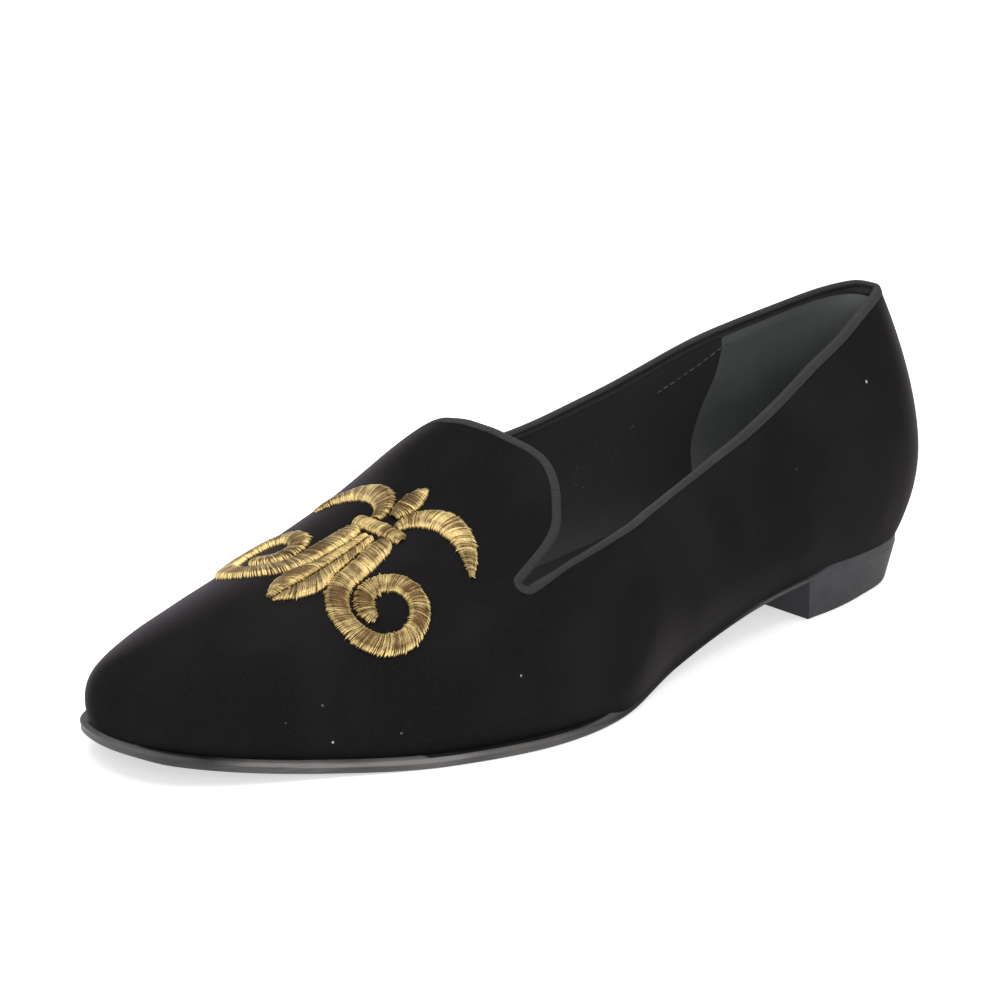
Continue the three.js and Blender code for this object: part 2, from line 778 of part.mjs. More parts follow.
const part = new THREE.Group();
part.add(shoe);
part.updateMatrixWorld(true);

export default part;
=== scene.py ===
"""Looks of a black velvet slipper loafer: velvet, tape, gold embroidery, lining, sole and heel."""
import math

import bpy
import numpy as np
from mathutils import Matrix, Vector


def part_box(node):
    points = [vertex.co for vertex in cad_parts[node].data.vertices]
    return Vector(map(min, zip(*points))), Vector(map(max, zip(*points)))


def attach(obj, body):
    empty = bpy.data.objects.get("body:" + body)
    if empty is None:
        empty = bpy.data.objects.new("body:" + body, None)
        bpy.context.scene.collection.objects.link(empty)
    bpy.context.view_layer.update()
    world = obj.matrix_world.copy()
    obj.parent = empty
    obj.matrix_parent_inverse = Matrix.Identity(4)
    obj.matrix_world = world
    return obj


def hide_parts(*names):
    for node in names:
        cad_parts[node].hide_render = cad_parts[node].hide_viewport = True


bl_info = {
    "name": "Velvet slipper loafer",
    "version": (1, 0, 0),
    "blender": (4, 5, 0),
    "location": "View3D > Sidebar > Slipper",
    "description": "Dresses the packed slipper in velvet, tape, gold thread, leather and lacquer",
    "category": "Object",
}

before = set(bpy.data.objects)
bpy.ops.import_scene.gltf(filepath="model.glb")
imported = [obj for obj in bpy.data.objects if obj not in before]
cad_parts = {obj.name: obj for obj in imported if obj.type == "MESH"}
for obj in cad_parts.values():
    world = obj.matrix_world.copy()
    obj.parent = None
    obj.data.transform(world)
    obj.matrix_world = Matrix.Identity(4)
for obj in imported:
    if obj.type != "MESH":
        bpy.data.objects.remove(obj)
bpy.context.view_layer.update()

# Sizes below are in millimetres unless a comment says shares. x runs from the heel to the toe,
# y to the wearer's left, z up.
MM = 0.001

# Last and wall, as in the part
LENGTH = 258.0
BALL_WIDTH = 81.0
INSTEP = 57.0
BACK_HEIGHT = 58.0
BACK_BULGE = 19.5
BACK_UNDERCUT = 6.7
BACK_LEAN = 12.0
BACK_REACH = 0.34
TOE_SPRING = 6.0
WALL = 2.0
SEAM_GAP = 0.3
STEEPEST_FOOT = 1.6

# The wall is thinner at the opening, and its outer share is velvet with its backing
EDGE_WALL = 1.5
EDGE_FADE = 7.0
VELVET_SHARE = 0.55

# Sole and insole, as in the part; shares of LENGTH where the tread and the margin change
SOLE_THICK = 2.6
SOLE_MARGIN = 1.7
WAIST_MARGIN = 0.4
INSOLE_THICK = 1.8
HEEL_SEAT_END = 0.20
TREAD_START = 0.60
TREAD_END = 0.76
MARGIN_START = 0.50
MARGIN_FULL = 0.66

# Finer shape of the sole: how far its edge stands out in the forepart and draws in at the tip,
# the velvet's tuck behind it, and how far the velvet hangs over it ahead of the heel and at the waist
LIP_EXTRA = 0.25
TIP_TUCK = 1.2
TUCK_HEIGHT = 2.2
TUCK_DEPTH = 0.35
HEM_LEAST = 1.0
HEM_MOST = 1.9

# Shares of LENGTH between which a form of the sole's edge fades in
SEAT_SPAN = (0.185, 0.235)
HANG_SPAN = (0.29, 0.38)
HEM_SPAN = (0.54, 0.66)
LIP_SPAN = (0.70, 0.80)
TIP_SPAN = (0.975, 1.0)

# Heel block: its sides' step and taper, its breast's rake, and how its back is drawn out
HEEL_HEIGHT = 10.2
HEEL_LENGTH = 57.5
SOLE_STEP = 0.35
HEEL_TAPER = 1.0
HEEL_RAKE = 2.4
HEEL_BACK = 3.0
HEEL_FOOT = 2.0
HEEL_PINCH = 0.075
HEEL_FULL = 34.0
HEEL_BEVEL = 0.35
SEAT_BACK = 2.2
SEAT_BULGE = 1.6

# Opening and its tape
NOTCH_EASE = 0.5
TAPE_REACH = 1.6
TAPE_DRAWN = 0.5
TAPE_PROUD = 0.16

# Shares of LENGTH between which the tape is drawn in, and let out again before the notch
DRAWN_SPAN = (0.30, 0.46)
LET_OUT_SPAN = (0.625, 0.655)

# Heel patch and seam stitches
PATCH_THICK = 0.25
PATCH_ROWS = 50
PATCH_COLUMNS = 120
STITCH = 1.7
STITCH_PITCH = 1.25

# Embroidery, as in the part
MOTIF_FROM_TONGUE = 47.0
MOTIF_SIDE = 3.0
MOTIF_REACH = 27.0
BAND_WIDTH = 5.4
BAND_HEIGHT = 1.4

# Small steps, in shares, for directions along the rim and the foot line, and table sizes
RIM_STEP = 0.012
OUTLINE_STEP = 0.004
GIRTH_SAMPLES = 40
RIDGE_SAMPLES = 80

# Shape of the last at shares of LENGTH: half widths and bulges as shares of BALL_WIDTH, the ridge
# as a share of INSTEP, the side's height as a share of the ridge, the crown as one of the half width
LAST_COLUMNS = ("at", "lateral", "medial", "lateralBulge", "medialBulge", "ridge", "side", "crown")
LAST = np.array([
    [0.00, 0.000, 0.000, 0.000, 0.000, 1.12, 0.33, 0.76],
    [0.02, 0.138, 0.201, 0.050, 0.050, 1.06, 0.33, 0.75],
    [0.06, 0.240, 0.285, 0.076, 0.076, 1.04, 0.32, 0.74],
    [0.12, 0.290, 0.312, 0.111, 0.111, 1.02, 0.32, 0.74],
    [0.22, 0.315, 0.298, 0.145, 0.164, 1.01, 0.32, 0.74],
    [0.34, 0.347, 0.279, 0.171, 0.207, 0.98, 0.32, 0.74],
    [0.46, 0.420, 0.307, 0.169, 0.207, 0.97, 0.34, 0.73],
    [0.56, 0.519, 0.382, 0.131, 0.159, 1.02, 0.37, 0.79],
    [0.66, 0.535, 0.465, 0.084, 0.084, 0.768, 0.417, 0.70],
    [0.76, 0.472, 0.457, 0.068, 0.068, 0.581, 0.459, 0.65],
    [0.86, 0.341, 0.365, 0.064, 0.064, 0.456, 0.50, 0.64],
    [0.93, 0.241, 0.259, 0.062, 0.062, 0.361, 0.52, 0.66],
    [0.97, 0.164, 0.177, 0.059, 0.059, 0.282, 0.54, 0.69],
    [0.99, 0.096, 0.108, 0.045, 0.045, 0.202, 0.56, 0.74],
    [1.00, 0.000, 0.000, 0.000, 0.000, 0.103, 0.60, 0.81],
])

# Opening from the back seam to the notch: at of LENGTH, height of BACK_HEIGHT
QUARTER = np.array([
    [0.000, 1.010],
    [0.063, 0.9712],
    [0.150, 0.8928],
    [0.220, 0.8264],
    [0.280, 0.7604],
    [0.340, 0.7140],
    [0.400, 0.6928],
    [0.450, 0.6775],
    [0.500, 0.6805],
    [0.540, 0.6885],
    [0.580, 0.6630],
    [0.620, 0.6061],
    [0.660, 0.5320],
])

# Opening from the notch up the tongue: share of the wall left above the notch, at of LENGTH
TONGUE = np.array([
    [0.00, 0.660],
    [0.11, 0.616],
    [0.24, 0.598],
    [0.50, 0.5803],
    [0.75, 0.5835],
    [1.00, 0.585],
])

# Embroidered strokes: places are shares of MOTIF_REACH, widths shares of BAND_WIDTH
VEIN_GAP = 0.5
BLUNT_END = 0.06
VOLUTE = {"stem": 0.2, "turns": 1.3, "along": 0.27, "across": 0.665, "start": 0.43, "end": 0.145}
VOLUTE_WIDTHS = (0.98, 0.8)
STEM = ((-0.24, 0.178), (-0.07, 0.178), (0.1, 0.235), (0.27, 0.235))
TAIL = ((-0.40, 0.12), (-0.66, 0.13), (-0.88, 0.5), (-0.5, 0.92))
BUD = ((-0.49, 0.0), (-0.9, 0.0))
TIE = ((-0.32, -0.26), (-0.32, 0.26))
TAIL_WIDTH = 1.1
BUD_WIDTH = 1.0
TIE_WIDTH = 0.62
LEAF = np.array([
    [-0.20, 0.062],
    [0.06, 0.082],
    [0.30, 0.115],
    [0.54, 0.190],
    [0.74, 0.145],
    [0.92, 0.030],
])

# Steps of the fine surfaces
QUARTER_KEYS = 20
TONGUE_KEYS = 8
QUARTER_STEPS = 110
NOTCH_STEPS = 12
VAMP_STEPS = 120
LOWER_ROWS = 34
TONGUE_ROWS = 40
LINING_FINENESS = 0.5
SOLE_STEPS = 260
HEEL_STEPS = 90
LID_STEPS = 18

# Front edge of the heel patch inside the shoe: height above the foot line, at of LENGTH
PATCH_FRONT = np.array([
    [0.0, 0.162],
    [8.6, 0.167],
    [13.8, 0.171],
    [24.1, 0.167],
    [33.6, 0.161],
    [40.6, 0.168],
    [48.0, 0.185],
    [56.0, 0.205],
])

# Soft bends of the velvet: middle along the shoe, slant, reach up the side, width, depth
BENDS = (
    (150.0, -0.35, 26.0, 4.5, -0.22), (162.0, -0.30, 26.0, 5.0, 0.16),
    (139.0, -0.25, 22.0, 5.0, 0.15), (224.0, 0.2, 14.0, 7.0, -0.12),
)
BEND_HEIGHT = 20.0

# Fuller tip of the toe: how much, and its height above the foot line
TIP_FULL = 0.6
TIP_HEIGHT = 11.0

# Specks of lint on the outer side: at of LENGTH, height above the foot line, reach, lightness
LINT = (
    (0.859, 3.9, 0.42, 0.45), (0.865, 11.6, 0.36, 0.20), (0.897, 8.1, 0.30, 0.10),
    (0.805, 5.5, 0.40, 0.14), (0.981, 11.1, 0.36, 0.10), (0.139, 41.4, 0.55, 0.50),
    (0.695, 14.4, 0.36, 0.30), (0.281, 28.9, 0.4, 0.06),
)

# Rubbed places on the inner side's lining: at of LENGTH, height above the foot line, reach
RUBBED = (
    (0.335, 16.0, 7.5), (0.300, 21.0, 7.5), (0.272, 25.0, 6.0), (0.285, 17.0, 3.5), (0.235, 26.0, 3.0),
)

# Seam inside the wall ahead of the heel patch: at of LENGTH, height above the foot line
SEAM = np.array([
    [0.166, 45.2],
    [0.177, 43.0],
    [0.187, 41.0],
    [0.204, 38.2],
    [0.224, 35.6],
    [0.246, 33.4],
])

# The binding's section, as shares: across of its half thickness, out of its width
BINDING_PROFILE = np.array([
    [0.76, -0.30], [0.97, -0.28], [1.00, -0.05], [1.02, 0.25], [0.99, 0.52], [0.90, 0.76],
    [0.70, 0.92], [0.38, 0.99], [0.0, 1.01], [-0.38, 0.99], [-0.70, 0.92], [-0.90, 0.76],
    [-1.00, 0.50], [-1.08, 0.10], [-1.16, -0.45], [-1.22, -1.08], [-0.98, -1.10],
    [-0.90, -0.05], [0.0, 0.03], [0.72, 0.02],
])

# The sole's edge from the top down: inset with the lip, without it, over the heel; drop
SOLE_EDGE = (
    (0.45, 0.50, 0.60, 0.00), (0.20, 0.20, 0.45, 0.03), (0.08, 0.08, 0.37, 0.12), (0.02, 0.02, 0.35, 0.28),
    (0.00, 0.00, 0.34, 0.46), (0.00, 0.00, 0.34, 0.58), (0.01, 0.00, 0.34, 0.64), (0.02, 0.00, 0.34, 0.72),
    (0.04, 0.00, 0.34, 0.82), (0.10, 0.00, 0.34, 0.96), (0.21, 0.00, 0.34, 1.12), (0.24, 0.00, 0.34, 1.35),
    (0.24, 0.00, 0.34, 1.55), (0.24, 0.01, 0.34, 1.75), (0.25, 0.03, 0.34, 1.92), (0.26, 0.06, 0.34, 2.05),
    (0.31, 0.15, 0.34, 2.25), (0.42, 0.30, 0.34, 2.45), (0.62, 0.55, 0.35, 2.57), (0.88, 0.85, 0.38, 2.60),
)

# Drop down to which a point of the edge belongs to the lip
LIP_DROP = 1.04

# Inset of the sole's edge under the velvet's hem, by the drop below the hem
HEM_INSET = ((-1.9, 1.60), (-0.2, 1.00), (0.0, 0.70), (0.3, 0.12), (1.6, 0.10))

# Painted light and shade of the sole's edge, a painted highlight on the lip in the forepart and painted
# shade at the waist and toe: at of LENGTH, the lip's tone and the band's, as shares of its colour
EDGE_TONE = np.array([
    [0.00, 0.10, 0.10],
    [0.30, 0.10, 0.10],
    [0.55, 0.10, 0.10],
    [0.62, 0.22, 0.22],
    [0.70, 0.55, 0.42],
    [0.77, 1.00, 0.45],
    [0.90, 1.10, 0.45],
    [0.93, 0.70, 0.35],
    [0.955, 0.12, 0.14],
    [0.985, 0.24, 0.20],
    [1.00, 0.45, 0.35],
])

# Tone of the narrow top behind the lip, which the velvet shades
LEDGE_TONE = 0.08

# Heel block from the sole down: rise of its height, taper of HEEL_TAPER
HEEL_LEVELS = np.array([
    [1.00, 0.00], [0.98, 0.05], [0.80, 0.18], [0.60, 0.36], [0.42, 0.52], [0.25, 0.68],
    [0.12, 0.80], [0.05, 0.88], [0.015, 1.02], [0.00, 1.35],
])

# Camera, found by fitting the part's outline to the photograph
CAMERA_AZIMUTH = 131.622
CAMERA_ELEVATION = 17.201
CAMERA_ROLL = 4.202
CAMERA_DISTANCE = 1000.0
CAMERA_FOCAL = 4.032
CAMERA_TARGET = (-58.418, -66.329, 9.127)
SENSOR = 36.0


def length_property(name, description, default):
    """A length in metres that the user may change."""
    return bpy.props.FloatProperty(name=name, description=description, default=default, min=0.0,
                                   unit="LENGTH", precision=5)


def colour_property(name, description, default):
    """A linear colour that the user may change."""
    return bpy.props.FloatVectorProperty(name=name, description=description, default=default, size=3,
                                         subtype="COLOR", min=0.0, max=1.0)


class SlipperSizes(bpy.types.PropertyGroup):
    """Sizes of the fine detail."""

    rib_pitch: length_property("Rib pitch", "Distance between two ribs of the tape", 0.00047)
    rib_height: length_property("Rib height", "Height of a rib of the tape", 0.00010)
    thread_pitch: length_property("Thread pitch", "Distance between two gold threads", 0.00020)
    thread_width: length_property("Thread width", "Diameter of a gold thread", 0.00031)
    fray: length_property("Fray", "How unevenly the gold threads end", 0.00013)
    nap_scale: length_property("Nap scale", "Size of a tuft of the velvet's pile", 0.0004)


class SlipperColours(bpy.types.PropertyGroup):
    """Colours of the pieces."""

    velvet: colour_property("Velvet", "Depth of the pile", (0.0088, 0.0080, 0.0084))
    # velvet_sheen tints the shader's sheen, and is also the velvet's painted sheen seen edge on and the
    # painted light on the tape's inner leg.
    velvet_sheen: colour_property("Velvet sheen", "Light on the pile's tips", (0.80, 0.70, 0.80))
    tape: colour_property("Tape", "Ribbed tape round the opening", (0.0225, 0.0210, 0.0220))
    # gold and gold_dark are the ends of the gold's range, into which painted sheen, painted highlights and
    # painted glints are mixed.
    gold: colour_property("Gold", "Bright side of the gold thread", (0.88, 0.68, 0.305))
    gold_dark: colour_property("Old gold", "Dull side of the gold thread", (0.100, 0.052, 0.014))
    lining: colour_property("Lining", "Cloth inside the wall", (0.034, 0.0315, 0.0325))
    heel_patch: colour_property("Heel patch", "Leather inside the back", (0.125, 0.135, 0.132))
    insole: colour_property("Insole", "Leather under the foot", (0.018, 0.016, 0.0165))
    sole_edge: colour_property("Sole edge", "Waxed edge of the sole", (0.150, 0.144, 0.140))
    sole_tread: colour_property("Sole tread", "Underside of the sole", (0.045, 0.040, 0.036))
    heel: colour_property("Heel", "Lacquer of the heel block", (0.028, 0.0262, 0.0305))


# ---- Last and wall ----

def smoothstep(start, end, x):
    """0 before start, 1 after end, and the cubic with level ends between them."""
    u = np.clip((x - start) / (end - start), 0, 1)
    return u * u * (3 - 2 * u)


def curve_through(xs, ys):
    """The smooth curve through a table's rows: cubic pieces whose slopes are the weighted mean of
    the rises on both sides."""
    xs, ys = np.asarray(xs, float), np.asarray(ys, float)
    step = np.diff(xs)
    rise = np.diff(ys) / step
    middle = (rise[:-1] * step[1:] + rise[1:] * step[:-1]) / (step[:-1] + step[1:])
    slope = np.concatenate([rise[:1], middle, rise[-1:]])

    def curve(x):
        i = np.clip(np.searchsorted(xs, x, side="right") - 1, 0, len(step) - 1)
        u = (x - xs[i]) / step[i]
        start = (2 * u ** 3 - 3 * u ** 2 + 1) * ys[i] + (u ** 3 - 2 * u ** 2 + u) * step[i] * slope[i]
        end = (3 * u ** 2 - 2 * u ** 3) * ys[i + 1] + (u ** 3 - u ** 2) * step[i] * slope[i + 1]
        return start + end
    return curve


def share_at(station):
    """Share of LENGTH at a station, (1 - cos(pi station)) / 2."""
    return (1 - np.cos(np.pi * station)) / 2


def station_at(share):
    """The station at a share of LENGTH."""
    return np.arccos(1 - 2 * np.clip(share, 0, 1)) / np.pi


last = {name: curve_through(station_at(LAST[:, 0]), LAST[:, k]) for k, name in enumerate(LAST_COLUMNS)}
quarter_height = curve_through(QUARTER[:, 0], QUARTER[:, 1])
tongue_at = curve_through(TONGUE[:, 0], TONGUE[:, 1])
patch_front = curve_through(PATCH_FRONT[:, 0], PATCH_FRONT[:, 1])


def tread_height(share):
    """Height of the sole's underside: flat under the ball, raised at the toe and over the heel."""
    toe = np.clip((share - TREAD_END) / (1 - TREAD_END), 0, 1)
    return TOE_SPRING * toe ** 2 + HEEL_HEIGHT * smoothstep(TREAD_START, HEEL_SEAT_END, share)


def sole_top(share):
    """Height of the sole's top."""
    return tread_height(share) + SOLE_THICK


def wall_height(station, v):
    """Height above the foot line at level v: the cubic from 0 through side, ridge and ridge."""
    ridge = last["ridge"](station) * INSTEP
    side = last["side"](station) * ridge
    return 3 * (1 - v) ** 2 * v * side + 3 * (1 - v) * v ** 2 * ridge + v ** 3 * ridge


def last_point(station, v, side):
    """Point of the last's skin. Across the foot it is the cubic through the half width, the half
    width with its bulge, the crown and the ridge line; the back leans by a power of the height."""
    station, v, side = np.broadcast_arrays(np.asarray(station, float), v, side)
    outer = side > 0
    half = np.where(outer, last["lateral"](station), last["medial"](station)) * BALL_WIDTH
    bulge = np.where(outer, last["lateralBulge"](station), last["medialBulge"](station)) * BALL_WIDTH
    crown = last["crown"](station) * half
    reach = (1 - v) ** 3 * half + 3 * (1 - v) ** 2 * v * (half + bulge) + 3 * (1 - v) * v ** 2 * crown
    height = wall_height(station, v)
    share = share_at(station)
    low = np.clip((BACK_BULGE - height) / BACK_BULGE, 0, 1)
    high = np.maximum((height - BACK_BULGE) / (BACK_HEIGHT - BACK_BULGE), 0)
    fade = np.clip(1 - share / BACK_REACH, 0, 1) ** 2
    x = share * LENGTH + (BACK_UNDERCUT * low ** 2 + BACK_LEAN * high ** 1.5) * fade
    return np.stack([x, side * reach, sole_top(share) + SEAM_GAP + height], axis=-1)


def last_normal(station, v, side):
    """Unit normal of the skin, out of the foot: the cross product of small steps along both
    parameters, kept in the middle plane on the ridge, the back seam and the toe's tip."""
    station, v, side = np.broadcast_arrays(np.asarray(station, float), v, side)
    seam = (v >= 1) | (station <= 0) | (station >= 1)
    used = np.where(seam, 1, side)
    step = 0.002
    t = np.clip(station, 2 * step, 1 - 2 * step)
    w = np.clip(v, step, 1 - 2 * step)
    along = last_point(t + step, w, used) - last_point(t - step, w, used)
    up = last_point(t, w + step, used) - last_point(t, w - step, used)
    out = np.cross(up, along) * used[..., None]
    out[..., 1] = np.where(seam, 0, out[..., 1])
    return out / np.linalg.norm(out, axis=-1, keepdims=True)


def girth_table(station, side):
    """Lengths of each section's line from the foot up to evenly spaced levels."""
    levels = np.linspace(0, 1, GIRTH_SAMPLES + 1)
    line = last_point(np.asarray(station)[..., None], levels, np.asarray(side)[..., None])
    steps = np.linalg.norm(np.diff(line, axis=-2), axis=-1)
    return np.concatenate([np.zeros(steps.shape[:-1] + (1,)), np.cumsum(steps, axis=-1)], axis=-1)


def mean_girth(station):
    """Mean of the girths of both sides."""
    return (girth_table(station, 1) + girth_table(station, -1)) / 2


def girth_at(table, v):
    """Length up to level v, read between the rows of a girth table."""
    at = np.clip(v, 0, 1) * GIRTH_SAMPLES
    k = np.minimum(np.floor(at).astype(int), GIRTH_SAMPLES - 1)
    low = np.take_along_axis(table, k[..., None], -1)[..., 0]
    high = np.take_along_axis(table, k[..., None] + 1, -1)[..., 0]
    return low + (high - low) * (at - k)


def level_at_girth(table, girth):
    """The level at a length up from the foot."""
    k = np.minimum((table[..., 1:] < girth[..., None]).sum(-1), GIRTH_SAMPLES - 1)
    low = np.take_along_axis(table, k[..., None], -1)[..., 0]
    high = np.take_along_axis(table, k[..., None] + 1, -1)[..., 0]
    return np.clip((k + (girth - low) / (high - low)) / GIRTH_SAMPLES, 0, 1)


def level_at_height(station, height):
    """The level at a height above the foot line, by halving."""
    station, height = np.broadcast_arrays(np.asarray(station, float), height)
    low, high = np.zeros(station.shape), np.ones(station.shape)
    for _ in range(40):
        middle = (low + high) / 2
        above = wall_height(station, middle) > height
        high = np.where(above, middle, high)
        low = np.where(above, low, middle)
    return (low + high) / 2


# ---- Opening ----

RIM_TO_VELVET = TAPE_REACH + NOTCH_EASE
NOTCH_SHARE = QUARTER[-1, 0]
NOTCH_LEVEL = float(level_at_height(station_at(NOTCH_SHARE), quarter_height(NOTCH_SHARE) * BACK_HEIGHT))


def unrolled(station, v):
    """Flat place of a wall point: x along the shoe, y up the mean girth."""
    return np.stack([share_at(station) * LENGTH, girth_at(mean_girth(station), v)], axis=-1)


def rolled(flat):
    """The wall's station and level at a flat place."""
    station = station_at(flat[..., 0] / LENGTH)
    return np.stack([station, level_at_girth(mean_girth(station), flat[..., 1])], axis=-1)


def quarter_rim(share):
    """Flat place of the rim beside the foot."""
    station = station_at(share)
    return unrolled(station, level_at_height(station, quarter_height(share) * BACK_HEIGHT))


def tongue_rim(up):
    """Flat place of the rim of the tongue."""
    return unrolled(station_at(tongue_at(up)), NOTCH_LEVEL + (1 - NOTCH_LEVEL) * up)


def right_of(curve, at, step):
    """Unit step to the right of a flat curve's direction."""
    along = curve(at + step) - curve(at - step)
    along = along / np.linalg.norm(along, axis=-1, keepdims=True)
    return np.stack([along[..., 1], -along[..., 0]], axis=-1)


def opening_edge(quarter_steps, notch_steps, tongue_rows):
    """Edge of the velvet, as rows of station and level: below the notch and above it. It runs one
    tape's width off the rim, and turns round the notch on an arc."""
    notch = quarter_rim(np.array(NOTCH_SHARE))
    low_step = right_of(quarter_rim, np.array(NOTCH_SHARE - RIM_STEP), RIM_STEP)
    high_step = right_of(tongue_rim, np.array(RIM_STEP), RIM_STEP)
    low_angle = math.atan2(low_step[1], low_step[0])
    high_angle = math.atan2(high_step[1], high_step[0])

    def on_arc(angles):
        out = np.stack([np.cos(angles), np.sin(angles)], axis=-1)
        return rolled(notch + out * RIM_TO_VELVET)

    share = share_at(station_at(NOTCH_SHARE) * np.arange(2, QUARTER_KEYS) / QUARTER_KEYS)
    keys = rolled(quarter_rim(share) + right_of(quarter_rim, share, RIM_STEP / 2) * RIM_TO_VELVET)
    arc = on_arc(np.linspace(low_angle, 0, notch_steps + 1))
    keys = np.concatenate([keys, arc[:2]])
    heights = wall_height(keys[:, 0], keys[:, 1])
    back = quarter_height(0.0) * BACK_HEIGHT - RIM_TO_VELVET
    height = curve_through(np.concatenate([-keys[::-1, 0], [0], keys[:, 0]]),
                           np.concatenate([heights[::-1], [back], heights]))
    station = np.linspace(0, arc[0, 0], quarter_steps + 1)[:-1]
    side = np.stack([station, level_at_height(station, height(station))], axis=-1)
    below = np.concatenate([side, arc])
    turn = on_arc(np.linspace(0, high_angle, notch_steps + 1))[1:]
    up = np.arange(1, TONGUE_KEYS) / TONGUE_KEYS
    keys = rolled(tongue_rim(up) + right_of(tongue_rim, up, RIM_STEP) * RIM_TO_VELVET)
    end = np.array([[float(station_at(tongue_at(1.0) + RIM_TO_VELVET / LENGTH)), 1.0]])
    half = np.concatenate([turn[-2:], keys, end])
    mirrored = np.concatenate([half, half[-2::-1] * [1, -1] + [0, 2]])
    place = np.concatenate([[0], np.cumsum(np.hypot(*(np.diff(mirrored, axis=0) * [2.2, 1]).T))])
    at = np.linspace(place[1], place[len(half) - 1], tongue_rows + 1)[1:]
    tongue = np.stack([curve_through(place, mirrored[:, k])(at) for k in range(2)], axis=-1)
    tongue[-1] = end[0]
    return below, np.concatenate([turn, tongue])


def tape_reach(below, above):
    """The tape's width over each row of the opening's edge: TAPE_REACH, less TAPE_DRAWN where it is
    drawn tight beside the foot, by smooth steps of the share of LENGTH."""
    share = share_at(below[:, 0])
    drawn = smoothstep(*DRAWN_SPAN, share) * (1 - smoothstep(*LET_OUT_SPAN, share))
    return np.concatenate([TAPE_REACH - TAPE_DRAWN * drawn, np.full(len(above), TAPE_REACH)])


def wall_thickness(place):
    """Thickness of the wall at places on the last: WALL, and thinner close to the opening, by a
    smooth step of the distance to its edge."""
    below, above = opening_edge(QUARTER_STEPS, NOTCH_STEPS, TONGUE_ROWS)
    edge = np.concatenate([below, above])
    line = np.concatenate([last_point(edge[:, 0], edge[:, 1], side) for side in (1, -1)])
    flat = place.reshape(-1, 3)
    near = np.concatenate([np.sqrt(((some[:, None] - line[None]) ** 2).sum(-1)).min(1)
                           for some in np.array_split(flat, len(flat) // 4000 + 1)])
    near = near.reshape(place.shape[:-1])
    return EDGE_WALL + (WALL - EDGE_WALL) * smoothstep(1.0, EDGE_FADE, near)


def wall_grids(fineness):
    """Grids of station and level: from the back seam to the notch, and from the opening to the toe."""
    rows = max(int(LOWER_ROWS * fineness), 4)
    below, above = opening_edge(int(QUARTER_STEPS * fineness), max(int(NOTCH_STEPS * fineness), 4),
                                int(TONGUE_ROWS * fineness))
    lower = np.linspace(0, 1, rows + 1)
    quarter = np.stack([np.repeat(below[:, :1], rows + 1, 1), below[:, 1:] * lower], axis=-1)
    front = np.stack([np.full(rows + 1, below[-1, 0]), below[-1, 1] * lower], axis=-1)
    edge = np.concatenate([front, above])
    ahead = np.linspace(0, 1, int(VAMP_STEPS * fineness) + 1)[:, None]
    station = edge[:, 0] + (1 - edge[:, 0]) * ahead
    return [quarter, np.stack([station, np.broadcast_to(edge[:, 1], station.shape)], axis=-1)]


# ---- Meshes ----

def grid_faces(rows, columns, first=0, around=False):
    """Four-cornered faces of a grid of points, closed along the columns if around."""
    i, j = np.meshgrid(np.arange(rows - 1), np.arange(columns if around else columns - 1), indexing="ij")
    k = (j + 1) % columns
    corners = [i * columns + j, i * columns + k, (i + 1) * columns + k, (i + 1) * columns + j]
    return np.stack(corners, axis=-1).reshape(-1, 4) + first


def length_along(line):
    """Length from a line's first point to each of its points."""
    return np.concatenate([[0], np.cumsum(np.linalg.norm(np.diff(line, axis=0), axis=1))])


def end_caps(steps, sides, first=0):
    """Faces that close both ends of a tube, each a row of rungs across the end's ring."""
    k = np.arange(sides // 2 - 1)
    rungs = np.stack([k, k + 1, sides - 2 - k, sides - 1 - k], axis=1) + first
    return np.concatenate([rungs[:, ::-1], rungs + (steps - 1) * sides])


def weld(points, faces):
    """Points that share a place become one. Returns the points' first rows and the faces' new ones."""
    _, first, back = np.unique(np.round(points * 1e4).astype(np.int64), axis=0, return_index=True,
                               return_inverse=True)
    return first, back.reshape(-1)[faces]


def whole_faces(faces):
    """Faces as a flat list of corners, a count for each, and which faces are left: a corner
    repeated in a row goes, and so does a face with fewer than three."""
    kept = faces != np.roll(faces, -1, axis=1)
    crossed = (faces[:, 0] == faces[:, 2]) | (faces[:, 1] == faces[:, 3])
    sound = (kept.sum(1) >= 3) & ~crossed
    kept, faces = kept[sound], faces[sound]
    return faces[kept], kept.sum(1), sound


def signed_volume(points, faces):
    """Volume inside the faces, negative if they point inwards."""
    a, b, c, d = (points[faces[:, k]] for k in range(4))
    return float((a * np.cross(b, c)).sum() + (a * np.cross(c, d)).sum()) / 6


SHIFT = np.zeros(3)


def find_shift():
    """Step from the last's own place to the frame: the sole's middle in the box that it has there."""
    low, high = (np.array(corner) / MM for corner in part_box("outsole"))
    own_low, own_high = outsole_reach()
    SHIFT[:2] = ((low + high) / 2)[:2] - ((own_low + own_high) / 2)[:2]


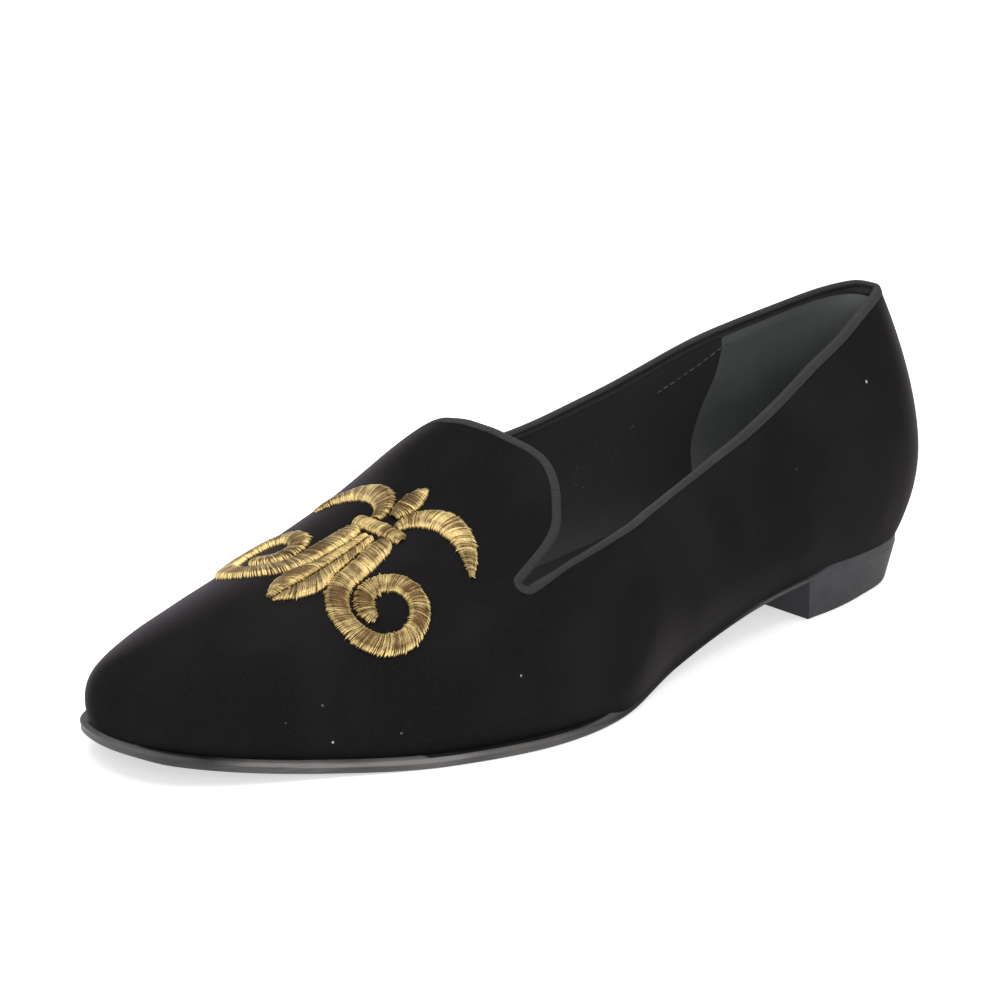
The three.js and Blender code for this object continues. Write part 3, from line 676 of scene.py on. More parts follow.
def add_piece(name, points, faces, materials, replaces=(), face_material=None, values=None,
              sharp=None):
    """Puts a closed surface in the scene, in metres in the frame, and lets it ride on the shoe.
    values are numbers kept on its points, and edges over sharp degrees stay sharp."""
    if signed_volume(points, faces) < 0:
        faces = faces[:, ::-1]
    corners, counts, sound = whole_faces(faces)
    starts = np.concatenate([[0], np.cumsum(counts)[:-1]])
    mesh = bpy.data.meshes.new(name)
    mesh.vertices.add(len(points))
    mesh.vertices.foreach_set("co", ((points + SHIFT) * MM).astype(np.float32).ravel())
    mesh.loops.add(len(corners))
    mesh.loops.foreach_set("vertex_index", corners.astype(np.int32))
    mesh.polygons.add(len(counts))
    mesh.polygons.foreach_set("loop_start", starts.astype(np.int32))
    if face_material is not None:
        mesh.polygons.foreach_set("material_index", face_material[sound].astype(np.int32))
    for key, column in (values or {}).items():
        kept_values = mesh.attributes.new(key, "FLOAT", "POINT").data
        kept_values.foreach_set("value", column.astype(np.float32))
    for material in materials:
        mesh.materials.append(material)
    mesh.update(calc_edges=True)
    mesh.validate()
    mesh.shade_smooth()
    if sharp is not None:
        mesh.set_sharp_from_angle(angle=math.radians(sharp))
    piece = bpy.data.objects.new(name, mesh)
    bpy.context.scene.collection.objects.link(piece)
    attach(piece, "root")
    if replaces:
        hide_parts(*replaces)
    return piece


def velvet_relief(station, v, side):
    """How far the velvet stands off the last, in millimetres: soft troughs where the vamp would
    bend, each a hill of Gauss along the shoe and along its own slant, a fuller tip of the toe, and
    the back let out over the heel's seat."""
    place = last_point(station, v, side)
    x, y = place[..., 0], place[..., 1]
    height = wall_height(station, v)
    relief = np.zeros(np.shape(x))
    off_middle = smoothstep(8, 22, np.abs(y))
    for middle, slant, reach, width, depth in BENDS:
        off = (x - middle - slant * (height - BEND_HEIGHT)) / width
        fade = np.exp(-((height - BEND_HEIGHT) / reach) ** 2)
        relief += depth * np.exp(-off ** 2) * fade * off_middle
    seat = np.clip(1 - x / HEEL_FULL, 0, 1) ** 2 * np.exp(-(height / 3.5) ** 2)
    tip = smoothstep(246, 257, x) * np.exp(-((height - TIP_HEIGHT) / 7) ** 2)
    return relief + TIP_FULL * tip + SEAT_BULGE * seat


def wall_shell(fineness, outer_share, inner_share, relief=None, tuck=0.0):
    """Closed shell between two shares of the wall's thickness: its points, and its faces. Both
    skins share one net, and the open edges of the net are joined across. With a tuck, the lowest
    TUCK_HEIGHT goes inwards by it and down over the sole, by a square of the height left."""
    stations, levels, sides, faces = [], [], [], []
    count = 0
    for side in (1, -1):
        for grid in wall_grids(fineness):
            part = grid_faces(*grid.shape[:2], first=count)
            faces.append(part if side > 0 else part[:, ::-1])
            stations.append(grid[..., 0].ravel())
            levels.append(grid[..., 1].ravel())
            sides.append(np.full(grid[..., 0].size, side))
            count += grid[..., 0].size
    station, level, side = (np.concatenate(a) for a in (stations, levels, sides))
    base = last_point(station, level, side)
    first, faces = weld(base, np.concatenate(faces))
    station, level, side, base = station[first], level[first], side[first], base[first]
    normal = last_normal(station, level, side)
    thickness = wall_thickness(base)
    lift = -outer_share * thickness + (relief(station, level, side) if relief else 0)
    outer = base + normal * lift[:, None]
    inner = base - normal * (inner_share * thickness)[:, None]
    if tuck:
        low = np.clip(1 - wall_height(station, level) / TUCK_HEIGHT, 0, 1) ** 2
        share = share_at(station)
        inward = normal * [-1, -1, 0] * (tuck * low * (1 - seat_weight(share)))[:, None]
        drop = SEAM_GAP + 0.1 + hem_hang(share)
        outer = outer + inward - [0, 0, 1] * (drop * low)[:, None]
        inner = inner - [0, 0, 1] * (drop * low)[:, None]
    total = len(base)
    edges = np.concatenate([faces[:, [k, (k + 1) % 4]] for k in range(4)])
    edges = edges[edges[:, 0] != edges[:, 1]]
    ahead = edges[:, 0].astype(np.int64) * total + edges[:, 1]
    back = edges[:, 1].astype(np.int64) * total + edges[:, 0]
    open_edges = edges[~np.isin(ahead, back)]
    start, end = open_edges.T
    rim = np.stack([end, start, start + total, end + total], axis=1)
    return np.concatenate([outer, inner]), np.concatenate([faces, faces[:, ::-1] + total, rim])


def outline_point(station, side, grow):
    """Point of the foot line moved outwards in the floor's plane."""
    station, side, grow = np.broadcast_arrays(np.asarray(station, float), side, grow)
    here = last_point(station, 0.0, side)
    along = (last_point(np.minimum(station + OUTLINE_STEP, 1), 0.0, side)
             - last_point(np.maximum(station - OUTLINE_STEP, 0), 0.0, side))
    out = np.stack([-along[..., 1] * side, along[..., 0] * side, np.zeros(station.shape)], axis=-1)
    out = np.where(station[..., None] <= 0, [-1.0, 0, 0], out)
    out = np.where(station[..., None] >= 1, [1.0, 0, 0], out)
    return here + out / np.linalg.norm(out, axis=-1, keepdims=True) * grow[..., None]


def lip_weight(share):
    """1 where the sole has its lip, round the toe, and 0 behind the ball."""
    return smoothstep(*LIP_SPAN, share)


def hem_weight(share):
    """1 at the waist and heel, where the velvet hangs over the sole's edge, and 0 in the forepart."""
    return 1 - smoothstep(*HEM_SPAN, share)


def seat_weight(share):
    """1 over the heel, where the sole's edge is flush with the block, and 0 ahead of its breast."""
    return 1 - smoothstep(*SEAT_SPAN, share)


def sole_margin(share):
    """How far the sole stands out past the foot line."""
    return WAIST_MARGIN + (SOLE_MARGIN - WAIST_MARGIN) * smoothstep(MARGIN_START, MARGIN_FULL, share)


def slab(stations, levels, lid_steps, top_shape=None, flat_end=None):
    """Closed solid between outlines: levels are pairs of functions of the share, (grow, height),
    from the top down. Each section runs down one side, across the bottom, up the other side and
    across the top. Returns points, faces and, for each face, its place in the section."""
    share = share_at(stations)[:, None]
    grow = np.concatenate([np.broadcast_to(g(share), share.shape) for g, _ in levels], axis=1)
    height = np.concatenate([np.broadcast_to(h(share), share.shape) for _, h in levels], axis=1)
    sides = []
    for side in (1, -1):
        ring = outline_point(stations[:, None], side, grow)
        ring[..., 2] = height
        if flat_end is not None:
            ring[-1, :, 0] = flat_end(height[-1])
        sides.append(ring)
    across = np.linspace(0, 1, lid_steps + 1)[1:-1, None]
    left, right = sides

    def lid(start, end, shape=None):
        line = start[:, None] * (1 - across) + end[:, None] * across
        if shape is not None:
            line[..., 2] += shape(share, across[:, 0][None] * 2 - 1)
        return line

    rings = np.concatenate([left, lid(left[:, -1], right[:, -1]), right[:, ::-1],
                            lid(right[:, 0], left[:, 0], top_shape)], axis=1)
    rows, columns = rings.shape[:2]
    points = rings.reshape(-1, 3)
    faces = grid_faces(rows, columns, around=True)
    zone = np.tile(np.arange(columns), rows - 1)
    if flat_end is not None:
        depth = len(levels)
        over = np.linspace(0, 1, lid_steps + 1)[None, :, None]
        rungs = left[-1][:, None] * (1 - over) + right[-1][:, None] * over
        end_faces = grid_faces(depth, lid_steps + 1, first=len(points))
        points = np.concatenate([points, rungs.reshape(-1, 3)])
        faces = np.concatenate([faces, end_faces[:, ::-1]])
        zone = np.concatenate([zone, np.full(len(end_faces), columns)])
    first, faces = weld(points, faces)
    return points[first], faces, zone


def hem_hang(share):
    """How far the velvet hangs over the sole's edge: HEM_LEAST ahead of the heel, HEM_MOST at the
    waist, and nothing over the heel and in the forepart."""
    most = smoothstep(*HANG_SPAN, share)
    return hem_weight(share) * (1 - seat_weight(share)) * (HEM_LEAST + (HEM_MOST - HEM_LEAST) * most)


def sole_levels():
    """The sole's edge from the top down: round the toe a rounded lip over a band set in, behind it a
    plain band, at the waist the part under the hem set in, and over the heel a flat wall in line
    with the block. The toe's tip draws in by TIP_TUCK."""
    hem_at, hem_inset = np.array(HEM_INSET).T

    def at(lip, plain, seat, drop):
        def grow(share):
            hem = np.interp(drop - hem_hang(share), hem_at, hem_inset)
            foot = max(drop - 2.25, 0) * 1.6
            inset = plain + (lip - plain) * lip_weight(share) + (hem + foot - plain) * hem_weight(share)
            inset = inset + (seat - inset) * seat_weight(share)
            rounded = 1 + 0.8 * np.exp(-(drop / 0.4) ** 2)
            inset = inset + TIP_TUCK * rounded * smoothstep(*TIP_SPAN, share)
            return sole_margin(share) + LIP_EXTRA * (1 - hem_weight(share)) - inset
        return grow, lambda share: sole_top(share) - drop
    return [at(*row) for row in SOLE_EDGE]


def painted_edge_light(points):
    """Painted light and shade of the sole's edge at its points, read from EDGE_TONE along the shoe:
    the lip's above LIP_DROP, the band's under it, and LEDGE_TONE on the top."""
    share = points[:, 0] / LENGTH
    drop = sole_top(share) - points[:, 2]
    lip, band = (np.interp(share, EDGE_TONE[:, 0], EDGE_TONE[:, k]) for k in (1, 2))
    return np.where(drop < 0.01, LEDGE_TONE, np.where(drop < LIP_DROP, lip, band))


def outsole_reach():
    """Lowest and highest corner of the sole's outline."""
    stations = np.linspace(0, 1, SOLE_STEPS + 1)
    grow = sole_margin(share_at(stations))
    line = np.concatenate([outline_point(stations, side, grow) for side in (1, -1)])
    return line.min(0), line.max(0)


def heel_shaped(points, back):
    """The back of the heel drawn out, x less back, and HEEL_FOOT more at the floor, times the square
    of how far behind HEEL_FULL a point lies, and the sides drawn in toward the floor by up to a
    share HEEL_PINCH of y."""
    behind = np.clip(1 - points[:, 0] / HEEL_FULL, 0, 1) ** 2
    low = np.clip(1 - points[:, 2] / HEEL_HEIGHT, 0, 1)
    shaped = points.copy()
    shaped[:, 0] -= (back + HEEL_FOOT * low) * behind
    shaped[:, 1] *= 1 - HEEL_PINCH * low * (1 - smoothstep(26, 52, points[:, 0]))
    return shaped


# ---- Tape, heel patch and seam ----

THREAD_SIDES = 6
SEAM_ARCH = 0.14
SEAM_THREAD = 0.17


def binding_surface(sizes):
    """The tape's section carried round the opening's edge, swollen and drawn in by a cosine of the
    length, once for each rib."""
    below, above = opening_edge(QUARTER_STEPS, NOTCH_STEPS, TONGUE_ROWS)
    half_way = np.concatenate([below, above])
    reach = tape_reach(below, above)
    reach = np.concatenate([reach, reach[-2:0:-1]])
    station = np.concatenate([half_way[:, 0], half_way[-2:0:-1, 0]])
    level = np.concatenate([half_way[:, 1], half_way[-2:0:-1, 1]])
    side = np.concatenate([np.ones(len(half_way)), -np.ones(len(half_way) - 2)])
    normal = last_normal(station, level, side)
    middle = last_point(station, level, side) - normal * EDGE_WALL / 2
    ahead = np.roll(middle, -1, axis=0) - np.roll(middle, 1, axis=0)
    wrap = 4
    rows = np.concatenate([np.arange(-wrap, 0), np.arange(len(middle)), np.arange(wrap)])
    line, across, along, reach = middle[rows], normal[rows], ahead[rows], reach[rows]
    length = length_along(line)
    length = length - length[wrap]
    total = length[wrap + len(middle)]
    ribs = int(total * MM / sizes.rib_pitch)
    s = np.arange(ribs * 4) * total / (ribs * 4)

    def read(rows_of):
        return np.stack([curve_through(length, rows_of[:, k])(s) for k in range(3)], axis=-1)

    centre, across, along = read(line), read(across), read(along)
    reach = curve_through(length, reach)(s)
    along /= np.linalg.norm(along, axis=1, keepdims=True)
    across -= along * (across * along).sum(1, keepdims=True)
    across /= np.linalg.norm(across, axis=1, keepdims=True)
    out = np.cross(along, across)
    crest = (1 + np.cos(2 * np.pi * np.arange(len(s)) / 4)) / 2
    half = EDGE_WALL / 2 + TAPE_PROUD
    profile = BINDING_PROFILE * [half, TAPE_REACH]
    covering = np.arange(len(profile)) < len(profile) - 3
    centre_of = np.array([0, TAPE_REACH * 0.3])
    push = profile - centre_of
    push = push / np.linalg.norm(push, axis=1, keepdims=True) * covering[:, None]
    swell = (crest - 0.5) * sizes.rib_height / MM
    shape = profile[None] * np.stack([np.ones(len(s)), reach / TAPE_REACH], -1)[:, None] + (
        push[None] * swell[:, None, None])
    points = centre[:, None] + across[:, None] * shape[..., :1] + out[:, None] * shape[..., 1:]
    rows_count, columns = points.shape[:2]
    faces = grid_faces(rows_count + 1, columns, around=True) % (rows_count * columns)
    # inner marks the tape's leg inside the shoe, which the tape material paints lighter.
    inner = (BINDING_PROFILE[:, 0] < -0.95) & (BINDING_PROFILE[:, 1] < 0.3)
    values = {"crest": np.repeat(crest, columns), "inner": np.tile(inner, rows_count)}
    return points.reshape(-1, 3), faces, values


def lining_seam():
    """Stitches along a line inside the wall on both sides: each is a tube with thin ends whose
    middle stands a little off the lining, by a half circle of its length."""
    at = np.linspace(SEAM[0, 0], SEAM[-1, 0], 400)
    station = station_at(at)
    level = level_at_height(station, curve_through(SEAM[:, 0], SEAM[:, 1])(at))
    lines, ups, radii = [], [], []
    for side in (1, -1):
        normal = last_normal(station, level, side)
        base = last_point(station, level, side)
        inside = base - normal * wall_thickness(base)[:, None]
        length = length_along(inside)
        start = np.arange(0.5, length[-1] - STITCH, STITCH * STITCH_PITCH)
        u = np.linspace(0, 1, 7)
        s = start[:, None] + u * STITCH
        line = np.stack([np.interp(s, length, inside[:, k]) for k in range(3)], axis=-1)
        out = -np.stack([np.interp(s, length, normal[:, k]) for k in range(3)], axis=-1)
        arch = np.sqrt(np.clip(1 - (2 * u - 1) ** 2, 0.02, 1))
        lines.append(line + out * (arch * SEAM_ARCH)[None, :, None])
        ups.append(out)
        radii.append(np.broadcast_to(arch * SEAM_THREAD + 0.03, s.shape))
    return tubes(np.concatenate(lines), np.concatenate(radii), np.concatenate(ups), THREAD_SIDES)


def heel_patch():
    """Leather patch against the lining round the back. Its level runs from the foot to just under
    the tape, its station from the front edge on one side round the back to the other; both skins
    are the last moved inwards, and they meet along a thin edge."""
    w = np.linspace(0, 1, PATCH_ROWS + 1)[None]
    round_back = np.linspace(-1, 1, PATCH_COLUMNS + 1)[:, None]
    side = np.where(round_back < 0, -1, 1)
    station_guess = station_at(0.17) * np.abs(round_back)
    below, _ = opening_edge(QUARTER_STEPS, NOTCH_STEPS, TONGUE_ROWS)
    edge_level = np.interp(station_guess, below[:, 0], below[:, 1])
    level = edge_level * (0.03 + 0.955 * w)
    height = wall_height(np.broadcast_to(station_guess, level.shape), level)
    station = station_at(patch_front(height)) * np.abs(round_back)
    edge_level = np.interp(station, below[:, 0], below[:, 1])
    level = edge_level * (0.03 + 0.955 * w)
    from_ends = (1 - np.abs(round_back)) * PATCH_COLUMNS / 4
    thin = np.sqrt(np.clip(np.minimum(np.minimum(w, 1 - w) * PATCH_ROWS / 2, from_ends), 0, 1))
    base = last_point(station, level, side)
    normal = last_normal(station, level, side)
    back = base - normal * (wall_thickness(base) + 0.02)[..., None]
    front = back - normal * (PATCH_THICK * thin + 0.001)[..., None]
    rows, columns = back.shape[:2]
    count = rows * columns
    faces = grid_faces(rows, columns)
    ring = np.concatenate([np.arange(columns), np.arange(1, rows) * columns + columns - 1,
                           np.arange(columns - 2, -1, -1) + (rows - 1) * columns,
                           np.arange(rows - 2, 0, -1) * columns])
    ahead = np.roll(ring, -1)
    rim = np.stack([ahead, ring, ring + count, ahead + count], axis=1)
    points = np.concatenate([front.reshape(-1, 3), back.reshape(-1, 3)])
    # Share of the height on each point, which the patch material uses for painted light toward the top.
    up = np.tile(np.broadcast_to(w, level.shape).ravel(), 2)
    return points, np.concatenate([faces, faces[:, ::-1] + count, rim]), up


# ---- Embroidery ----

ridge_stations = np.linspace(float(station_at(tongue_at(1.0))), 1, RIDGE_SAMPLES + 1)
ridge_points = last_point(ridge_stations, 1.0, 1)
ridge_station = curve_through(length_along(ridge_points), ridge_stations)


def on_vamp(along, sideways, lift):
    """Point of the vamp lifted off it: along the ridge from the motif's middle, sideways round
    the section from there."""
    along, sideways, lift = np.broadcast_arrays(along, sideways, lift)
    station = ridge_station(MOTIF_FROM_TONGUE + along)
    across = sideways + MOTIF_SIDE
    side = np.where(across < 0, -1, 1)
    table = girth_table(station, side)
    v = level_at_girth(table, table[..., -1] - np.abs(across))
    return last_point(station, v, side) + last_normal(station, v, side) * lift[..., None]


def bezier(corners, side):
    """Points along a cubic through its four corners, or along a line through two."""
    p = np.array(corners) * [1, side]
    u = np.linspace(0, 1, 400)[:, None]
    if len(p) == 2:
        return p[0] + (p[1] - p[0]) * u
    return (1 - u) ** 3 * p[0] + 3 * (1 - u) ** 2 * u * p[1] + 3 * (1 - u) * u ** 2 * p[2] + u ** 3 * p[3]


def blunt_width(at, start, end):
    """Width of a band with blunt ends, by a circle over its last stretch."""
    near = np.minimum(np.minimum(at, 1 - at) / BLUNT_END, 1)
    return (start + (end - start) * at) * np.sqrt(1 - (1 - near) ** 2 * 0.9)


def leaf_width(at, widest):
    """Width of a leaf, a sine with pointed ends."""
    return np.maximum(widest * np.sin(np.pi * (0.1 + 0.86 * at)), 0.12)


def volute_line(side):
    """A stem and then a spiral whose radius falls evenly with the turn."""
    u = np.linspace(0, 1, 1200)[:, None]
    angle = 2 * np.pi * VOLUTE["turns"] * u
    radius = VOLUTE["start"] + (VOLUTE["end"] - VOLUTE["start"]) * u
    spiral = np.concatenate([VOLUTE["along"] + radius * np.sin(angle),
                             VOLUTE["across"] - radius * np.cos(angle)], axis=1)
    return np.concatenate([bezier(STEM, 1)[:-1], spiral]) * [1, side]


def leaf_line(side):
    """Middle line of half the leaf, and its width along it."""
    along = np.linspace(LEAF[0, 0], LEAF[-1, 0], 400)
    width = curve_through(LEAF[:, 0], LEAF[:, 1])(along) * MOTIF_REACH
    line = np.stack([along * MOTIF_REACH, side * (VEIN_GAP + width) / 2], axis=-1)
    return line, width - VEIN_GAP


def stroke(name):
    """Middle line and width of one embroidered stroke, in millimetres."""
    side = -1 if name.endswith("inner") else 1
    if "leaf" in name:
        return leaf_line(side)
    if "volute" in name:
        line, width = volute_line(side), lambda at: blunt_width(at, *VOLUTE_WIDTHS)
    elif "tail" in name:
        line, width = bezier(TAIL, side), lambda at: leaf_width(at, TAIL_WIDTH)
    elif "bud" in name:
        line, width = bezier(BUD, 1), lambda at: leaf_width(at, BUD_WIDTH)
    else:
        line, width = bezier(TIE, 1), lambda at: blunt_width(at, TIE_WIDTH, TIE_WIDTH)
    line = line * MOTIF_REACH
    length = length_along(line)
    return line, width(length / length[-1]) * BAND_WIDTH


# Strokes and the slant of their threads: share of the half width that a thread's end runs ahead
STROKES = {
    "embroidery_volute_outer": 0.28,
    "embroidery_volute_inner": -0.28,
    "embroidery_tail_outer": 0.35,
    "embroidery_tail_inner": -0.35,
    "embroidery_leaf_outer": 0.9,
    "embroidery_leaf_inner": -0.9,
    "embroidery_bud": 0.0,
    "embroidery_tie": 0.15,
}
THREAD_STEPS = 9
PADDING_SIDES = 12
PADDING_DROP = 0.2
PADDING_STEP = 0.6

# Half width from which a stroke has its full height
FULL_HALF = 1.6


def band_lift(u):
    """Height of a thread over the velvet across the band: a full arch that dives in at the edges."""
    return 0.02 + (SEAM_GAP + BAND_HEIGHT - 0.45) * np.clip(1 - np.abs(u) ** 3.2, 0, 1) ** 0.6


def tubes(lines, radius, ups, sides):
    """Closed tubes round many lines at once. Sections are ellipses set across each line."""
    ahead = np.gradient(lines, axis=1)
    ahead /= np.linalg.norm(ahead, axis=-1, keepdims=True)
    across = np.cross(ahead, ups)
    across /= np.linalg.norm(across, axis=-1, keepdims=True)
    up = np.cross(across, ahead)
    angle = 2 * np.pi * np.arange(sides) / sides
    ring = (across[:, :, None] * np.cos(angle)[:, None] + up[:, :, None] * np.sin(angle)[:, None])
    skin = lines[:, :, None] + ring * radius[..., None, None]
    count, steps = lines.shape[:2]
    each = np.concatenate([grid_faces(steps, sides, around=True), end_caps(steps, sides)])
    faces = (each[None] + (np.arange(count) * steps * sides)[:, None, None]).reshape(-1, 4)
    return skin.reshape(-1, 3), faces


def stitched_stroke(name, slant, sizes, random):
    """One satin-stitched stroke: padding under threads that cross it side by side. A thread's
    place is the line's point plus its share of the half width, with the end run ahead by the
    slant, and its ends are uneven."""
    line, width = stroke(name)
    length = length_along(line)
    ahead = np.gradient(line, axis=0)
    ahead /= np.linalg.norm(ahead, axis=1, keepdims=True)
    pitch = sizes.thread_pitch / MM
    count = int(length[-1] / pitch)

    def at(s, u):
        s = np.clip(s, 0, length[-1])
        x, y = np.interp(s, length, line[:, 0]), np.interp(s, length, line[:, 1])
        dx, dy = np.interp(s, length, ahead[:, 0]), np.interp(s, length, ahead[:, 1])
        w = np.interp(s, length, width) / 2
        return x - dy * u * w, y + dx * u * w

    def half_at(s):
        return np.interp(s, length, width) / 2

    u = np.sin(np.linspace(-1, 1, THREAD_STEPS) * np.pi / 2)
    s = (np.arange(count) + 0.5) / count * length[-1] + random.normal(0, 0.07, count) * pitch
    fray = random.exponential(sizes.fray / MM, (count, 2))
    reach = 1 + np.where(u[None] < 0, fray[:, :1], fray[:, 1:]) / np.maximum(half_at(s), 0.3)[:, None]
    tilt = slant + random.normal(0, 0.06, count)
    along = s[:, None] + tilt[:, None] * u * half_at(s)[:, None]
    x, y = at(along, u * reach)
    full = np.minimum(1, half_at(s)[:, None] / FULL_HALF) ** 0.5
    lift = band_lift(u) * full + random.normal(0, 0.022, (count, 1))
    threads = on_vamp(x, y, lift)
    base = on_vamp(x, y, lift - 1)
    ups = threads - base
    radius = np.full(threads.shape[:2], sizes.thread_width / MM / 2)
    radius[:, [0, -1]] *= 0.5
    points, faces = tubes(threads, radius, ups, THREAD_SIDES)
    shade = np.repeat(np.clip(random.normal(0.5, 0.22, count), 0, 1), THREAD_STEPS * THREAD_SIDES)
    # Share of the half width across the band, which the gold material uses for a painted highlight at the
    # edges.
    edge = np.tile(np.repeat(np.abs(u), THREAD_SIDES), count)
    steps = max(int(length[-1] / PADDING_STEP), 8)
    s = np.linspace(0.15, length[-1] - 0.15, steps)[:, None]
    v = np.cos(np.linspace(0, np.pi, PADDING_SIDES))
    x, y = at(s, v * 0.97)
    full = np.minimum(1, half_at(s) / FULL_HALF) ** 0.5
    top = on_vamp(x, y, np.maximum(band_lift(v) * full - PADDING_DROP, 0.0))
    foot = on_vamp(x, y, np.full(x.shape, -0.1))
    rings = np.concatenate([top, foot[:, ::-1]], axis=1)
    sides = rings.shape[1]
    pad_faces = np.concatenate([grid_faces(steps, sides, first=len(points), around=True),
                                end_caps(steps, sides, len(points))])
    if signed_volume(rings.reshape(-1, 3), pad_faces - len(points)) < 0:
        pad_faces = pad_faces[:, ::-1]
    if signed_volume(points, faces) < 0:
        faces = faces[:, ::-1]
    points = np.concatenate([points, rings.reshape(-1, 3)])
    padding = np.zeros(rings.shape[0] * sides)
    values = {"shade": np.concatenate([shade, padding]), "edge": np.concatenate([edge, padding])}
    return points, np.concatenate([faces, pad_faces]), values


# ---- Materials ----

class Maker:
    """Short words for building one material's nodes."""

    def __init__(self, name):
        self.material = bpy.data.materials.new(name)
        self.material.use_nodes = True
        self.nodes = self.material.node_tree.nodes
        self.links = self.material.node_tree.links
        self.shader = self.nodes["Principled BSDF"]
        self.place = self.nodes.new("ShaderNodeTexCoord").outputs["Object"]

    def join(self, value, socket):
        """Links an output, or sets a plain number or colour."""
        if isinstance(value, bpy.types.NodeSocket):
            self.links.new(value, socket)
        else:
            socket.default_value = value

    def set(self, **values):
        """Sets the shader's own sockets, named with underscores for spaces."""
        for key, value in values.items():
            self.join(value, self.shader.inputs[key.replace("_", " ")])

    def noise(self, scale, detail=3.0, roughness=0.55, stretch=None):
        """Noise on the object's own coordinates, stretched along an axis if asked."""
        node = self.nodes.new("ShaderNodeTexNoise")
        node.inputs["Scale"].default_value = scale
        node.inputs["Detail"].default_value = detail
        node.inputs["Roughness"].default_value = roughness
        place = self.place
        if stretch is not None:
            mapping = self.nodes.new("ShaderNodeMapping")
            mapping.inputs["Scale"].default_value = stretch
            self.links.new(self.place, mapping.inputs["Vector"])
            place = mapping.outputs["Vector"]
        self.links.new(place, node.inputs["Vector"])
        return node.outputs["Fac"]

    def near(self, place, radius):
        """1 close to a place of the frame, in millimetres, falling to 0 at a radius."""
        node = self.nodes.new("ShaderNodeVectorMath")
        node.operation = "DISTANCE"
        node.inputs[1].default_value = (place + SHIFT) * MM
        self.links.new(self.place, node.inputs[0])
        return self.spread(node.outputs["Value"], 0.35 * radius * MM, radius * MM, 1, 0)

    def upward(self):
        """1 where the surface faces up, -1 where it faces the floor."""
        node = self.nodes.new("ShaderNodeSeparateXYZ")
        self.links.new(self.nodes.new("ShaderNodeNewGeometry").outputs["Normal"], node.inputs[0])
        return node.outputs["Z"]

    def attribute(self, name):
        """A number kept on the piece's points."""
        node = self.nodes.new("ShaderNodeAttribute")
        node.attribute_name = name
        return node.outputs["Fac"]

    def spread(self, value, from_low, from_high, low, high):
        """Maps a range of values to another, smoothly."""
        node = self.nodes.new("ShaderNodeMapRange")
        node.interpolation_type = "SMOOTHSTEP"
        ends = {"From Min": from_low, "From Max": from_high, "To Min": low, "To Max": high}
        for key, number in ends.items():
            node.inputs[key].default_value = number
        self.links.new(value, node.inputs["Value"])
        return node.outputs["Result"]

    def mix(self, factor, a, b):
        """Colour between a and b."""
        node = self.nodes.new("ShaderNodeMix")
        node.data_type = "RGBA"
        self.join(factor, node.inputs["Factor"])
        self.join(a, node.inputs[6])
        self.join(b, node.inputs[7])
        return node.outputs[2]

    def sum(self, a, b, kind="ADD"):
        """Arithmetic on two numbers."""
        node = self.nodes.new("ShaderNodeMath")
        node.operation = kind
        self.join(a, node.inputs[0])
        self.join(b, node.inputs[1])
        return node.outputs[0]

    def bump(self, height, strength, distance):
        """Relief from a height, in millimetres."""
        node = self.nodes.new("ShaderNodeBump")
        node.inputs["Strength"].default_value = strength
        node.inputs["Distance"].default_value = distance * MM
        self.links.new(height, node.inputs["Height"])
        self.links.new(node.outputs["Normal"], self.shader.inputs["Normal"])


def rgba(colour, gain=1.0):
    """A colour with full cover, made lighter or darker."""
    return (min(colour[0] * gain, 1), min(colour[1] * gain, 1), min(colour[2] * gain, 1), 1)


def velvet_material(colours, sizes):
    """Short pile: a near-black depth, a soft sheen on the tips, tufts, stroked patches and a few
    specks of lint. A painted sheen makes it paler where seen edge on, left out where it faces the floor."""
    m = Maker("velvet")
    tuft = m.noise(1 / sizes.nap_scale, 2.0, 0.6)
    stroked = m.noise(38, 3.0, 0.5, (1.0, 1.6, 0.7))
    depth = m.mix(m.spread(stroked, 0.35, 0.7, 0, 1), rgba(colours.velvet, 0.75),
                  rgba(colours.velvet, 1.25))
    colour = m.mix(m.spread(tuft, 0.4, 0.8, 0, 1), depth, rgba(colours.velvet, 1.25))
    ragged = m.spread(m.noise(2600, 1.0), 0.35, 0.6, 0, 1)
    for share, height, radius, light in LINT:
        station = station_at(share)
        place = last_point(station, level_at_height(station, height), 1)
        speck = m.sum(m.near(place, radius), ragged, "MULTIPLY")
        colour = m.mix(speck, colour, rgba((light, light * 0.96, light * 0.9)))
    # Painted sheen: the colour goes paler where the surface is seen edge on, but not where it faces the
    # floor.
    painted_light_edge_on = m.spread(m.nodes.new("ShaderNodeLayerWeight").outputs["Facing"], 0.55, 1.0, 0, 1)
    painted_light_edge_on = m.sum(painted_light_edge_on, m.spread(m.upward(), -0.45, 0.05, 0, 1), "MULTIPLY")
    colour = m.mix(painted_light_edge_on, colour, rgba(colours.velvet_sheen, 0.060))
    m.set(Base_Color=colour, Roughness=1.0, Specular_IOR_Level=0.05, Sheen_Weight=0.10,
          Sheen_Roughness=0.22, Sheen_Tint=rgba(colours.velvet_sheen))
    m.bump(m.sum(tuft, m.noise(3000, 2.0), "MULTIPLY"), 0.2, 0.1)
    return m.material


